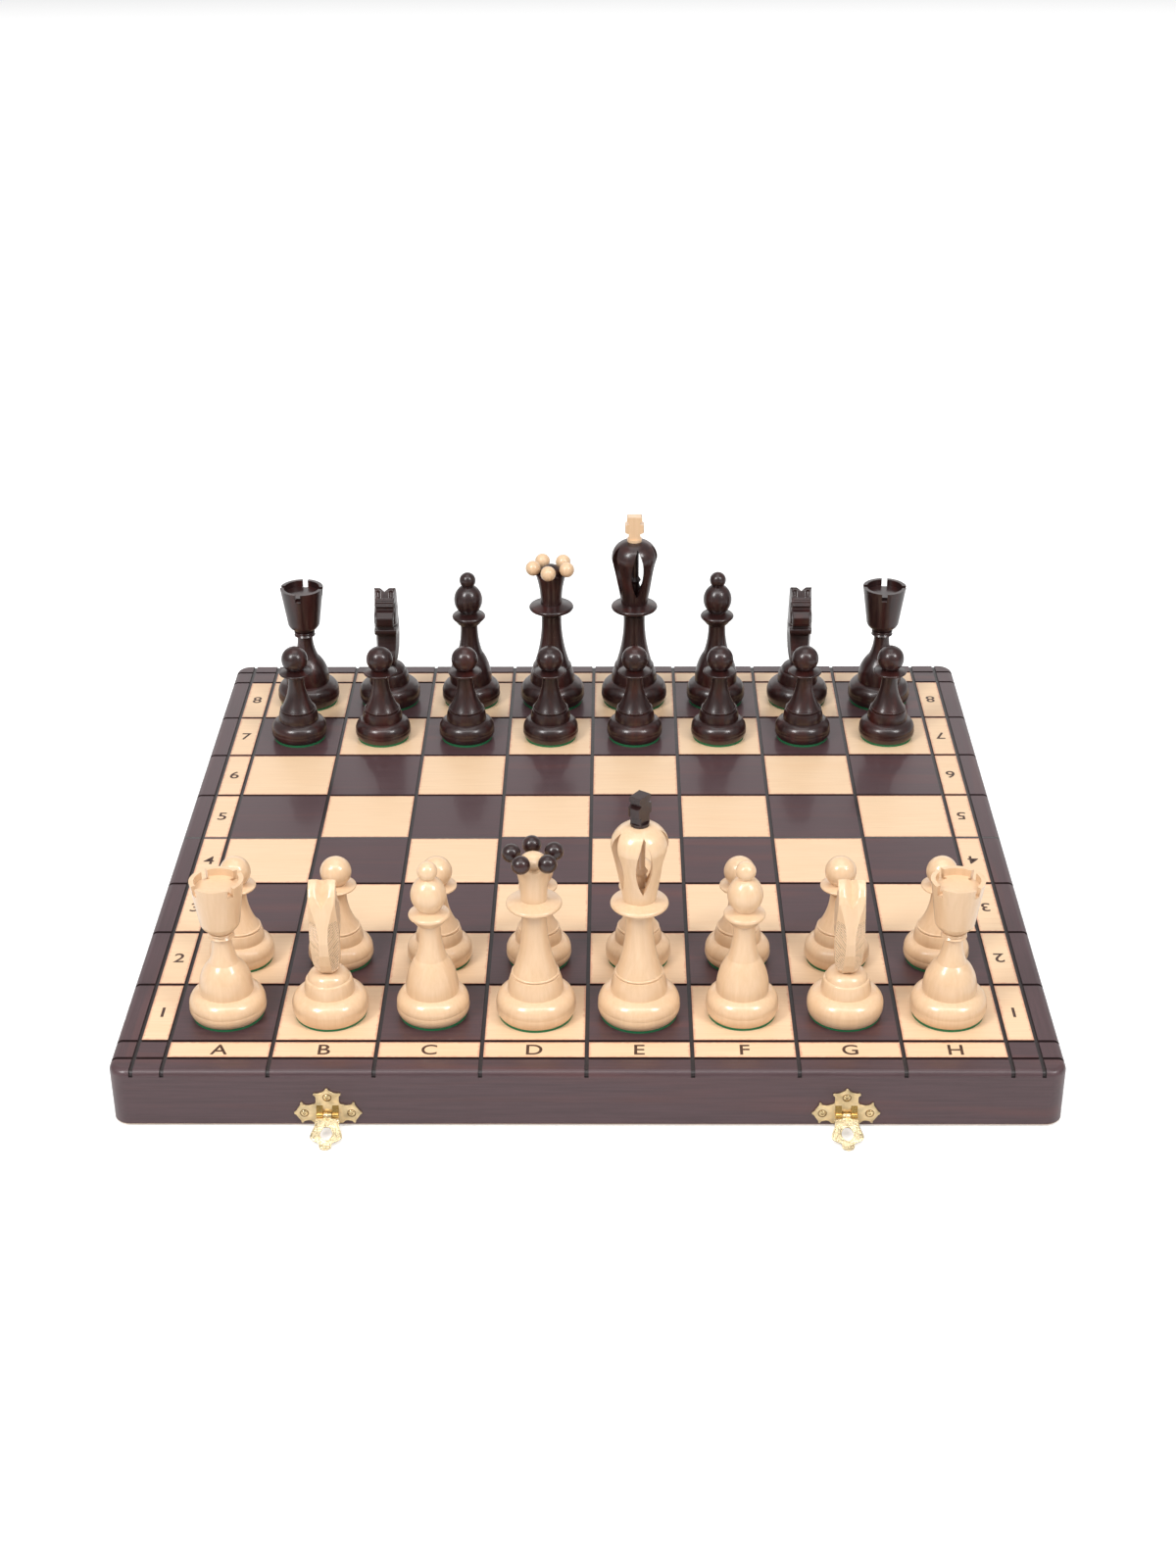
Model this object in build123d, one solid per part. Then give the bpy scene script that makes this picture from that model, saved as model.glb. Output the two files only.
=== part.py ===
from build123d import *
from collections import namedtuple
import math
import os

os.makedirs("parts", exist_ok=True)

# Folding chess set, in millimetres, shown open with the men on their starting squares.
# X runs along the ranks from the a-file to the h-file, Y runs away from White, +Z is up.
# The board is drawn about its own middle. The origin of the written pieces is on the table, under
# the middle of everything that reaches out in plan, with the hasps leaning out in front.

# Playing field and the two bands around it
square = 46.5
squares_a_side = 8
letter_band = 13.5
edge_band = 10.5
half_height = 28.0
corner_radius = 8.0
top_round = 3.0

# Milled lines and inlaid veneers
groove_width = 1.8
groove_depth = 0.8
veneer_thickness = 0.6

# Tray under each half
panel_thickness = 5.0
hinge_rail_thickness = 9.0
seam_chamfer = 0.5

# Butt hinges in the seam
hinge_spacing = 210.0
hinge_length = 24.0
hinge_leaf_width = 8.0
hinge_leaf_thickness = 1.0
barrel_radius = 1.2
hinge_pin_radius = 0.6
pin_clearance = 0.05
knuckle_gap = 0.2
barrel_clearance = 0.35
leaf_recess = 0.05
screw_spacing = 13.0
screw_inset = 4.8
screw_head_radius = 1.7
screw_shank_radius = 0.9
screw_length = 9.0

# Clasps on the near wall
clasp_spacing = 228.0
plate_thickness = 0.8
plate_arm_width = 20.8
plate_arm_height = 6.4
plate_body_width = 11.6
plate_body_drop = 5.4
lobe_radius = 3.4
lobe_point = 4.7
top_nail_rise = 8.3
clasp_pin_rise = 6.5
clasp_barrel_radius = 1.4
clasp_pin_radius = 0.6
clasp_barrel_length = 9.9
hasp_knuckle_length = 3.7
barrel_plate_gap = 0.3
hasp_thickness = 0.9
hasp_length = 17.5
hasp_width = 14.0
hasp_root_width = 7.6
hasp_widest_at = 10.6
hasp_tip_width = 4.4
hasp_shoulder_radius = 3.6
hasp_root_height = 1.0
slot_width = 5.2
slot_length = 6.7
slot_centre_at = 9.25
lip_radius = 0.8
lip_length = 3.5
lip_inset = 0.3
table_gap = 0.02

# Nails and keepers
nail_head_radius = 1.5
nail_head_height = 0.6
nail_shank_radius = 0.6
nail_length = 7.0
keeper_width = 24.0
keeper_height = 8.4
keeper_rise = 0.4
keeper_corner = 2.0
keeper_nail_spacing = 18.0
nose_width = 3.6
nose_height = 4.2
nose_length = 3.8

# Chessmen: felt, turned foot and turned stem, radii and heights above the playing surface
felt_thickness = 1.2
felt_inset = 1.1
finial_seat = 2.2
crown_ball_radius = 4.2
crown_ball_count = 5
basket_slot_count = 5
rook_notch_count = 4

# How every foot and stem is rounded: shares of the way between two points of it, and small steps
underside_share = 0.2
belly_share = 0.42
arc_share = 0.7
tier_swell = 0.3
tier_ridge = 0.8
tier_step = 0.4
bead_radius = 0.6
bulb_height_share = 0.2
bulb_top_share = 0.36
bulb_width_share = 0.36
bend_share = 0.24
bend_height_share = 0.45
collar_cove = 1.6
cove_share = 0.18
collar_edge = 0.8
collar_under_share = 0.62
collar_widest_share = 0.8
collar_rise = 1.4

Foot = namedtuple("Foot", "base_r base_top tier_r tier_top_r tier_top")
feet = {
    "king": Foot(18.4, 13.4, 12.9, 11.2, 21.4),
    "queen": Foot(17.9, 13.2, 12.7, 11.0, 21.2),
    "bishop": Foot(16.3, 12.8, 11.9, 11.1, 20.6),
    "knight": Foot(17.2, 12.6, 11.4, 10.2, 19.0),
    "rook": Foot(17.2, 12.8, 12.2, 11.2, 20.6),
    "pawn": Foot(15.1, 11.4, 10.9, 10.0, 16.8),
}

Stem = namedtuple("Stem", "neck_r collar_bottom collar_r collar_top head_r")
stems = {
    "king": Stem(6.0, 53.0, 12.9, 59.0, 7.4),
    "queen": Stem(5.6, 53.0, 12.4, 58.8, 6.0),
    "bishop": Stem(4.8, 47.0, 9.3, 53.2, 4.8),
    "rook": Stem(4.3, 40.6, 5.8, 43.4, 6.2),
    "pawn": Stem(4.3, 37.0, 9.1, 40.0, 3.7),
}
bulbous = ("bishop", "rook")

king_crown_widest_r = 12.6
king_crown_widest_z = 86.5
king_crown_top_r = 4.6
king_crown_top_z = 97.0
king_shell = 3.2
crown_bend_share = 0.42
crown_bend_height_share = 0.5
king_spindle_r = 2.4
basket_slot_width = 7.2
basket_slot_bottom = 66.0
basket_slot_widest = 82.0
basket_slot_top = 95.0
basket_hollow_top = 92.0
basket_turn = 10.0
spindle_bead_r = 3.6
spindle_bead_rise = 8.0
spindle_bead_half = 2.0
finial_foot_r = 4.1
finial_foot_height = 1.5
finial_peg_r = 2.0
king_height = 111.6
cross_depth = 5.6
cross_width = 10.6
cross_top_width = 8.4
cross_waist_width = 6.2
cross_notch_height = 0.9
cross_top_height = 3.2
cross_arm_height = 5.6
cross_corner = 0.7
cross_rounding = 0.2
white_cross_turn = 55.0
black_cross_turn = 0.0

queen_crown_top_r = 9.2
queen_crown_top_z = 79.5
queen_dome_rise = 4.8
queen_ball_ring_r = 9.9
queen_ball_z = 81.6
queen_scallop_radius = 3.6
queen_scallop_rise = 1.2
queen_flare_share = 0.22
queen_flare_height_share = 0.55
queen_rim_width = 2.4
queen_rim_drop = 1.2
white_queen_turn = 95.0
black_queen_turn = 47.0

bishop_head_r = 7.9
bishop_head_z = 61.8
bishop_ball_r = 4.5
bishop_height = 78.2
bishop_ring_height = 0.4

rook_cup_base_r = 8.9
rook_cup_base_z = 48.0
rook_cup_swell = 0.7
rook_cup_r = 12.0
rook_height = 69.6
rook_rim = 2.1
rook_recess = 3.4
rook_notch_width = 3.0
rook_notch_depth = 4.6
white_rook_turn = 40.0
black_rook_turn = -5.0

pawn_ball_r = 7.2
pawn_height = 54.2

knight_height = 71.2
knight_dome_r = 5.6
knight_seat_z = 24.0
knight_half_width = 7.2
knight_foot_half_width = 4.8
knight_ear_half_width = 6.1
knight_muzzle_half_width = 5.3
knight_widest_z = 47.0
knight_cheek_half_height = 6.0
knight_cheek_back = -2.0
ear_notch_front = 1.0
ear_notch_depth = 2.4
ear_notch_tilt = 43.0
ear_notch_flare = 0.6

# The knight's side outline, as (forward, up) from the middle of its foot
knight_rump = (-5.2, 23.6)
knight_back = (-10.4, 41.0)
knight_crest = (-7.6, 60.0)
knight_poll = (-6.0, 66.4)
knight_ear_forward = -3.0
knight_ear_root = (-0.4, 66.2)
knight_forehead = (5.2, 63.2)
knight_nose = (9.6, 57.0)
knight_lip = (11.2, 51.4)
knight_chin = (10.6, 48.6)
knight_mouth = (7.8, 48.0)
knight_jaw = (3.8, 49.4)
knight_cheek = (1.6, 46.4)
knight_throat = (2.2, 42.6)
knight_neck = (5.4, 34.0)
knight_chest = (8.0, 30.0)
knight_breast = (7.8, 26.4)
knight_toe = (5.2, 23.6)

# How far cutting tools run past what they cut
overrun = 1.0

# Places that follow from the sizes above
field_half = square * squares_a_side / 2
outer_line = field_half + letter_band
board_half = outer_line + edge_band
rim_z = barrel_radius
board_top = rim_z + half_height
panel_bottom = board_top - panel_thickness
line_places = [-outer_line]
line_places += [i * square - field_half for i in range(squares_a_side + 1)]
line_places += [outer_line]
clasp_pin_z = rim_z + clasp_pin_rise
clasp_pin_y = -(board_half + plate_thickness + barrel_plate_gap + clasp_barrel_radius)
nose_rise = slot_centre_at - clasp_pin_rise
pin_axis = Axis((0, clasp_pin_y, clasp_pin_z), (1, 0, 0))
half_turn = Rot(0, 0, 180)


pieces = {}


def keep(name, shapes):
    """Keeps one sub-part, a solid or a group of separate solids, under its name."""
    pieces[name] = [solid for shape in shapes for solid in shape.solids()]


def write_all():
    """Moves every piece to the common origin and writes one file for each sub-part."""
    boxes = [solid.bounding_box() for solids in pieces.values() for solid in solids]
    middle_x = (min(b.min.X for b in boxes) + max(b.max.X for b in boxes)) / 2
    middle_y = (min(b.min.Y for b in boxes) + max(b.max.Y for b in boxes)) / 2
    place = Pos(-middle_x, -middle_y, 0)
    for name, solids in pieces.items():
        moved = [place * solid for solid in solids]
        body = moved[0] if len(moved) == 1 else Compound(children=moved)
        body.label = name
        export_step(body, f"parts/{name}.step")


def block(x0, x1, y0, y1, z0, z1):
    """A box between two corners."""
    place = Pos((x0 + x1) / 2, (y0 + y1) / 2, (z0 + z1) / 2)
    return place * Box(x1 - x0, y1 - y0, z1 - z0)


def rod(radius, x0, x1, y, z):
    """A cylinder along X."""
    return Pos((x0 + x1) / 2, y, z) * Rot(0, 90, 0) * Cylinder(radius, x1 - x0)


def turned(start, *steps):
    """Turns an outline about Z. A step is a point (r, z), or an arc (r, z) through (r, z)."""
    edges = [Line((0, 0, start[1]), (start[0], 0, start[1]))]
    at = start
    for step in steps:
        if isinstance(step[0], tuple):
            via, end = step
            edges.append(ThreePointArc((at[0], 0, at[1]), (via[0], 0, via[1]), (end[0], 0, end[1])))
        else:
            end = step
            edges.append(Line((at[0], 0, at[1]), (end[0], 0, end[1])))
        at = end
    if at[0] > 0:
        edges.append(Line((at[0], 0, at[1]), (0, 0, at[1])))
    edges.append(Line((0, 0, at[1]), (0, 0, start[1])))
    return revolve(make_face(edges), Axis.Z, 360)


# Board: both halves are cut from one rounded block, so the pieces of a half meet exactly


def rounded_block(inset):
    """The open board as one block, with its upright corners and top edge rounded."""
    side = 2 * (board_half - inset)
    bottom = rim_z
    top = board_top - inset
    shape = block(-side / 2, side / 2, -side / 2, side / 2, bottom, top)
    shape = fillet(shape.edges().filter_by(Axis.Z), corner_radius - inset)
    return fillet(shape.faces().sort_by(Axis.Z)[-1].edges(), top_round - inset)


def milled_lines():
    """The lines that cross the near half and notch its rounded edge."""
    reach = board_half + overrun
    low = board_top - top_round
    high = board_top + overrun
    slabs = []
    for place in line_places:
        x0 = place - groove_width / 2
        slabs.append(block(x0, x0 + groove_width, -reach, 0, low, high))
    for place in line_places:
        if place < -groove_width:
            y0 = place - groove_width / 2
            slabs.append(block(-reach, reach, y0, y0 + groove_width, low, high))
    core = rounded_block(groove_depth)
    return [slab - core for slab in slabs]


def is_light(file, rank):
    """The a1 corner is dark and the squares alternate from there."""
    return (file + rank) % 2 == 1


def veneer(x0, x1, y0, y1):
    """One thin light cell, let in between the milled lines around it."""
    edge = groove_width / 2
    return block(x0 + edge, x1 - edge, y0 + edge, y1 - edge, board_top - veneer_thickness, board_top)


def near_veneers():
    """Light squares of the four near ranks, with the light cells of the lettered band."""
    cells = []
    for file in range(squares_a_side):
        x0 = file * square - field_half
        cells.append(veneer(x0, x0 + square, -outer_line, -field_half))
        for rank in range(squares_a_side // 2):
            y0 = rank * square - field_half
            if is_light(file, rank):
                cells.append(veneer(x0, x0 + square, y0, y0 + square))
    for rank in range(squares_a_side // 2):
        y0 = rank * square - field_half
        cells.append(veneer(-outer_line, -field_half, y0, y0 + square))
        cells.append(veneer(field_half, outer_line, y0, y0 + square))
    return cells


def hinge_relief():
    """Room in the hinge rail for the barrels and the let-in leaves."""
    cuts = []
    for x in (-hinge_spacing / 2, hinge_spacing / 2):
        x0 = x - hinge_length / 2
        x1 = x + hinge_length / 2
        cuts.append(rod(barrel_radius + barrel_clearance, x0 - knuckle_gap, x1 + knuckle_gap, 0, rim_z))
        top = rim_z + hinge_leaf_thickness + leaf_recess
        cuts.append(block(x0, x1, -hinge_leaf_width, 0, rim_z - overrun, top))
    return cuts


def screw_places():
    """Where the screws of one half's leaves stand."""
    for x in (-hinge_spacing / 2, hinge_spacing / 2):
        for side in (-1, 1):
            yield x + side * screw_spacing / 2, -screw_inset


def screw(x, y):
    """A small countersunk screw, head down at the rim."""
    head_height = hinge_leaf_thickness
    return Pos(x, y, rim_z + leaf_recess) * turned(
        (screw_head_radius, 0),
        (screw_shank_radius, head_height),
        (screw_shank_radius, screw_length - screw_shank_radius),
        (0, screw_length),
    )


def half_pieces():
    """Panel, rails and veneers of the near half, by name."""
    whole = rounded_block(0)
    lines = milled_lines()
    cells = near_veneers()
    far_out = board_half + overrun
    high = board_top + overrun
    inner = -outer_line
    seam_side = seam_chamfer * math.sqrt(2)
    seam_cut = Pos(0, 0, board_top) * Rot(45, 0, 0) * Box(2 * far_out, seam_side, seam_side)
    regions = {
        "panel": block(inner, outer_line, inner, 0, panel_bottom, high),
        "front_rail": block(-far_out, far_out, -far_out, inner, 0, high),
        "left_rail": block(-far_out, inner, inner, 0, 0, high),
        "right_rail": block(outer_line, far_out, inner, 0, 0, high),
        "hinge_rail": block(inner, outer_line, -hinge_rail_thickness, 0, 0, panel_bottom),
    }
    half = {}
    for name, region in regions.items():
        piece = whole & region
        if name != "hinge_rail":
            piece = piece - lines
            piece = piece - seam_cut
        half[name] = piece
    half["panel"] = half["panel"] - cells
    half["hinge_rail"] = half["hinge_rail"] - hinge_relief() - [screw(x, y) for x, y in screw_places()]
    half["light_veneers"] = cells
    return half


# Butt hinges


def knuckle_spans(x):
    """Three knuckles of one hinge: the outer two on the near leaf, the middle one on the far leaf."""
    third = hinge_length / 3
    start = x - hinge_length / 2
    gap = knuckle_gap / 2
    outer = [(start, start + third - gap), (start + 2 * third + gap, start + hinge_length)]
    middle = [(start + third + gap, start + 2 * third - gap)]
    return outer, middle


def hinge_leaf(x, own, other):
    """A leaf let into the near rail with its knuckles, cut back round the other leaf's knuckles."""
    z0 = rim_z + leaf_recess
    half = hinge_length / 2
    leaf = block(x - half, x + half, -hinge_leaf_width, 0, z0, z0 + hinge_leaf_thickness)
    for x0, x1 in other:
        leaf -= rod(barrel_radius + barrel_clearance, x0 - knuckle_gap, x1 + knuckle_gap, 0, rim_z)
    for x0, x1 in own:
        leaf += rod(barrel_radius, x0, x1, 0, rim_z)
    leaf -= rod(hinge_pin_radius + pin_clearance, x - hinge_length, x + hinge_length, 0, rim_z)
    for sx, sy in screw_places():
        if abs(sx - x) < hinge_length / 2:
            leaf -= screw(sx, sy)
    return leaf


def hinges():
    """Leaves, pins and screws of both hinges."""
    near = []
    far = []
    pins = []
    for x in (-hinge_spacing / 2, hinge_spacing / 2):
        outer, middle = knuckle_spans(x)
        near.append(hinge_leaf(x, outer, middle))
        far.append(half_turn * hinge_leaf(-x, [(-b, -a) for a, b in middle], [(-b, -a) for a, b in outer]))
        pins.append(rod(hinge_pin_radius, x - hinge_length / 2, x + hinge_length / 2, 0, rim_z))
    screws = [screw(x, y) for x, y in screw_places()]
    keep("near_hinge_leaves", near)
    keep("far_hinge_leaves", far)
    keep("hinge_pins", pins)
    keep("near_hinge_screws", screws)
    keep("far_hinge_screws", [half_turn * s for s in screws])


# Clasps and keepers


def cap_middle(radius, rise):
    """A point (r, height) halfway in on a ball's cap of this radius and rise."""
    ball_radius = (radius**2 + rise**2) / (2 * rise)
    return radius / 2, rise - ball_radius + math.sqrt(ball_radius**2 - (radius / 2) ** 2)


def nail(x, z, plate_face):
    """A round-headed nail driven through a plate into the near wall."""
    head = turned(
        (nail_shank_radius, -nail_length),
        (nail_shank_radius, 0),
        (nail_head_radius, 0),
        (cap_middle(nail_head_radius, nail_head_height), (0, nail_head_height)),
    )
    return Pos(x, plate_face, z) * Rot(90, 0, 0) * head


def clasp_nail_places(x):
    """Left, right and top lobe of one clasp plate."""
    yield x - plate_arm_width / 2, clasp_pin_z
    yield x + plate_arm_width / 2, clasp_pin_z
    yield x, clasp_pin_z + top_nail_rise


def keeper_nail_places(x):
    """Both ends of one keeper plate."""
    middle = rim_z + keeper_rise + keeper_height / 2
    yield x - keeper_nail_spacing / 2, middle
    yield x + keeper_nail_spacing / 2, middle


def lobe():
    """A round lobe with a point on each side, as on a stamped clasp plate."""
    side = lobe_point * math.sqrt(2)
    return Circle(lobe_radius) + Rot(0, 0, 45) * Rectangle(side, side)


def wall_plane(x, z):
    """The near wall's outer face, with local X along the wall and local Y up."""
    return Plane(origin=(x, -board_half, z), x_dir=(1, 0, 0), z_dir=(0, -1, 0))


def clasp_plate(x):
    """A three-lobed plate with the two outer knuckles of its barrel."""
    body_middle = (top_nail_rise - plate_body_drop) / 2
    outline = Rectangle(plate_arm_width, plate_arm_height)
    outline += Pos(0, body_middle) * Rectangle(plate_body_width, top_nail_rise + plate_body_drop)
    for dx, dz in ((-plate_arm_width / 2, 0), (plate_arm_width / 2, 0), (0, top_nail_rise)):
        outline += Pos(dx, dz) * lobe()
    plate = extrude(wall_plane(x, clasp_pin_z) * outline, amount=plate_thickness)
    gap = knuckle_gap
    spans = (
        (x - clasp_barrel_length / 2, x - hasp_knuckle_length / 2 - gap),
        (x + hasp_knuckle_length / 2 + gap, x + clasp_barrel_length / 2),
    )
    for x0, x1 in spans:
        plate += rod(clasp_barrel_radius, x0, x1, clasp_pin_y, clasp_pin_z)
        web_top = clasp_pin_z + clasp_barrel_radius
        plate += block(x0, x1, clasp_pin_y, -board_half, clasp_pin_z + clasp_pin_radius, web_top)
    bore = clasp_pin_radius + pin_clearance
    plate -= rod(bore, x - clasp_barrel_length, x + clasp_barrel_length, clasp_pin_y, clasp_pin_z)
    face = -board_half - plate_thickness
    return plate - [nail(nx, nz, face) for nx, nz in clasp_nail_places(x)]


def hasp_lean():
    """Angle from hanging straight down to leaning with the tip on the table, in degrees."""
    half = hasp_thickness / 2
    reach = math.hypot(hasp_length, half)
    return math.degrees(math.atan2(half, hasp_length) + math.acos((clasp_pin_z - table_gap) / reach))


def hasp(x):
    """A slotted tongue that hangs from the clasp's middle knuckle, leaning on the table."""
    shoulder_r = hasp_shoulder_radius
    shoulder_x = hasp_width / 2 - shoulder_r
    tip_r = hasp_tip_width / 2
    edges = Pos(-shoulder_x, -hasp_widest_at) * Circle(shoulder_r).edge()
    parts = [edges, Pos(shoulder_x, -hasp_widest_at) * Circle(shoulder_r).edge()]
    parts += [Pos(0, -hasp_length + tip_r) * Circle(tip_r).edge()]
    root = Pos(0, -clasp_barrel_radius - hasp_root_height) * Rectangle(hasp_root_width, hasp_root_height)
    parts += list(root.edges())
    outline = make_hull(parts)
    stem_height = clasp_barrel_radius + 2 * hasp_root_height
    stem = Pos(0, hasp_root_height / 2 - stem_height / 2) * Rectangle(hasp_knuckle_length, stem_height)
    slot = Pos(0, -slot_centre_at) * Rot(0, 0, 90) * SlotOverall(slot_length, slot_width)
    outline = outline + stem - slot
    back = clasp_pin_y + hasp_thickness / 2
    plane = Plane(origin=(x, back, clasp_pin_z), x_dir=(1, 0, 0), z_dir=(0, -1, 0))
    blade = extrude(plane * outline, amount=hasp_thickness)
    lip_z = clasp_pin_z - hasp_length + lip_radius + lip_inset
    lip_y = clasp_pin_y - hasp_thickness / 2
    blade += rod(lip_radius, x - lip_length / 2, x + lip_length / 2, lip_y, lip_z)
    half = hasp_knuckle_length / 2
    blade += rod(clasp_barrel_radius, x - half, x + half, clasp_pin_y, clasp_pin_z)
    blade -= rod(clasp_pin_radius + pin_clearance, x - hasp_width, x + hasp_width, clasp_pin_y, clasp_pin_z)
    return blade.rotate(pin_axis, -hasp_lean())


def keeper(x):
    """A small plate with a nose that the hasp's slot drops over when the box is shut."""
    middle = rim_z + keeper_rise + keeper_height / 2
    plate = extrude(
        wall_plane(x, middle) * RectangleRounded(keeper_width, keeper_height, keeper_corner),
        amount=plate_thickness,
    )
    peg = extrude(
        wall_plane(x, rim_z + nose_rise) * Rot(0, 0, 90) * SlotOverall(nose_height, nose_width),
        amount=plate_thickness + nose_length,
    )
    peg = fillet(peg.faces().sort_by(Axis.Y)[0].edges(), nose_width / 4)
    face = -board_half - plate_thickness
    return plate + peg - [nail(nx, nz, face) for nx, nz in keeper_nail_places(x)]


def clasps():
    """Both clasps with their pins and nails, and the keepers on the far wall."""
    places = (-clasp_spacing / 2, clasp_spacing / 2)
    face = -board_half - plate_thickness
    half = clasp_barrel_length / 2
    keep("clasp_plates", [clasp_plate(x) for x in places])
    keep("left_hasp", [hasp(places[0])])
    keep("right_hasp", [hasp(places[1])])
    keep("clasp_pins", [rod(clasp_pin_radius, x - half, x + half, clasp_pin_y, clasp_pin_z) for x in places])
    clasp_nails = [nail(nx, nz, face) for x in places for nx, nz in clasp_nail_places(x)]
    keeper_nails = [nail(nx, nz, face) for x in places for nx, nz in keeper_nail_places(x)]
    keep("clasp_nails", clasp_nails)
    keep("keepers", [half_turn * keeper(x) for x in places])
    keep("keeper_nails", [half_turn * n for n in keeper_nails])
    return clasp_nails, keeper_nails


turned_names = {"front_rail": "back_rail", "left_rail": "right_rail", "right_rail": "left_rail"}


def board():
    """The wooden pieces of both halves, drilled for the nails of the fittings."""
    clasp_nails, keeper_nails = clasps()
    for name, piece in half_pieces().items():
        near = piece - clasp_nails if name == "front_rail" else piece
        far = piece - keeper_nails if name == "front_rail" else piece
        far_name = turned_names.get(name, name)
        near = near if isinstance(near, list) else [near]
        far = far if isinstance(far, list) else [far]
        keep(f"near_{name}", near)
        keep(f"far_{far_name}", [half_turn * solid for solid in far])


# Chessmen, each turned about Z with its felt on the plane z = 0


def between(low, high, share):
    """The value that lies a share of the way from one value to another."""
    return low + share * (high - low)


def foot_steps(kind):
    """Rounded base and tapered tier, from the wood's underside up to the tier's ridge."""
    foot = feet[kind]
    low = felt_thickness
    start = (foot.base_r - felt_inset, low)
    belly = (foot.base_r, between(low, foot.base_top, belly_share))
    under = (foot.base_r - felt_inset * underside_share, between(low, belly[1], 1 - arc_share))
    over = (between(foot.tier_r, foot.base_r, arc_share), between(belly[1], foot.base_top, arc_share))
    tier_mid = ((foot.tier_r + foot.tier_top_r) / 2 + tier_swell, (foot.base_top + foot.tier_top) / 2)
    return start, [
        (under, belly),
        (over, (foot.tier_r, foot.base_top)),
        (tier_mid, (foot.tier_top_r, foot.tier_top)),
    ]


def waist_steps(kind):
    """From the tier's ridge to the neck: a bulb and a hollow, or a bead and a long hollow."""
    foot = feet[kind]
    stem = stems[kind]
    if kind in bulbous:
        bulb_top = between(foot.tier_top, stem.collar_bottom, bulb_top_share)
        bulb_r = between(stem.neck_r, foot.tier_top_r, bulb_width_share)
        bulb_mid = (
            (foot.tier_top_r + bulb_r) / 2 + tier_swell,
            between(foot.tier_top, stem.collar_bottom, bulb_height_share),
        )
        steps = [(bulb_mid, (bulb_r, bulb_top))]
    else:
        bulb_top = foot.tier_top + tier_step + 2 * bead_radius
        bulb_r = foot.tier_top_r - tier_ridge
        bead_mid = (bulb_r + bead_radius, bulb_top - bead_radius)
        steps = [(bulb_r, foot.tier_top + tier_step), (bead_mid, (bulb_r, bulb_top))]
    neck_mid = (
        between(stem.neck_r, bulb_r, bend_share),
        between(bulb_top, stem.collar_bottom, bend_height_share),
    )
    return steps + [(neck_mid, (stem.neck_r, stem.collar_bottom))]


def stem_steps(kind):
    """Waist and neck up to the collar, and over the collar to the foot of the head."""
    stem = stems[kind]
    return waist_steps(kind) + [
        (stem.neck_r + collar_cove, between(stem.collar_bottom, stem.collar_top, cove_share)),
        (stem.collar_r - collar_edge, between(stem.collar_bottom, stem.collar_top, collar_under_share)),
        (
            (stem.collar_r, between(stem.collar_bottom, stem.collar_top, collar_widest_share)),
            (stem.collar_r - collar_edge, stem.collar_top),
        ),
        (stem.head_r, stem.collar_top + collar_rise),
    ]


def felt(kind):
    """The round felt glued under a man."""
    return Pos(0, 0, felt_thickness / 2) * Cylinder(feet[kind].base_r - felt_inset, felt_thickness)


def pawn():
    """A ball over a flat collar."""
    start, foot = foot_steps("pawn")
    ball_z = pawn_height - pawn_ball_r
    waist = stems["pawn"].head_r
    seat = ball_z - math.sqrt(pawn_ball_r**2 - waist**2)
    return turned(start, *foot, *stem_steps("pawn"), (waist, seat), ((pawn_ball_r, ball_z), (0, pawn_height)))


def rook(turn):
    """A goblet cup with a sunk top and notches through its rim."""
    start, foot = foot_steps("rook")
    floor = rook_height - rook_recess
    inner = rook_cup_r - rook_rim
    cup_mid = (rook_cup_base_r - rook_cup_swell, rook_cup_base_z - 2 * rook_cup_swell)
    cup = turned(
        start,
        *foot,
        *stem_steps("rook"),
        (cup_mid, (rook_cup_base_r, rook_cup_base_z)),
        (rook_cup_r, rook_height),
        (inner, rook_height),
        (inner, floor),
    )
    for i in range(rook_notch_count):
        place = Rot(0, 0, 360 / rook_notch_count * i + turn)
        high = rook_height + overrun
        low = rook_height - rook_notch_depth
        half = rook_notch_width / 2
        cup -= place * block(inner - rook_rim, rook_cup_r + overrun, -half, half, low, high)
    return cup


def bishop():
    """An egg-shaped head with a small ball on top."""
    start, foot = foot_steps("bishop")
    stem = stems["bishop"]
    ball_z = bishop_height - bishop_ball_r
    neck_r = bishop_ball_r * arc_share
    neck_z = ball_z - math.sqrt(bishop_ball_r**2 - neck_r**2)
    return turned(
        start,
        *foot,
        *stem_steps("bishop"),
        (stem.head_r, stem.collar_top + collar_rise + bishop_ring_height),
        ((bishop_head_r, bishop_head_z), (neck_r, neck_z)),
        ((bishop_ball_r, ball_z), (0, bishop_height)),
    )


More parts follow.
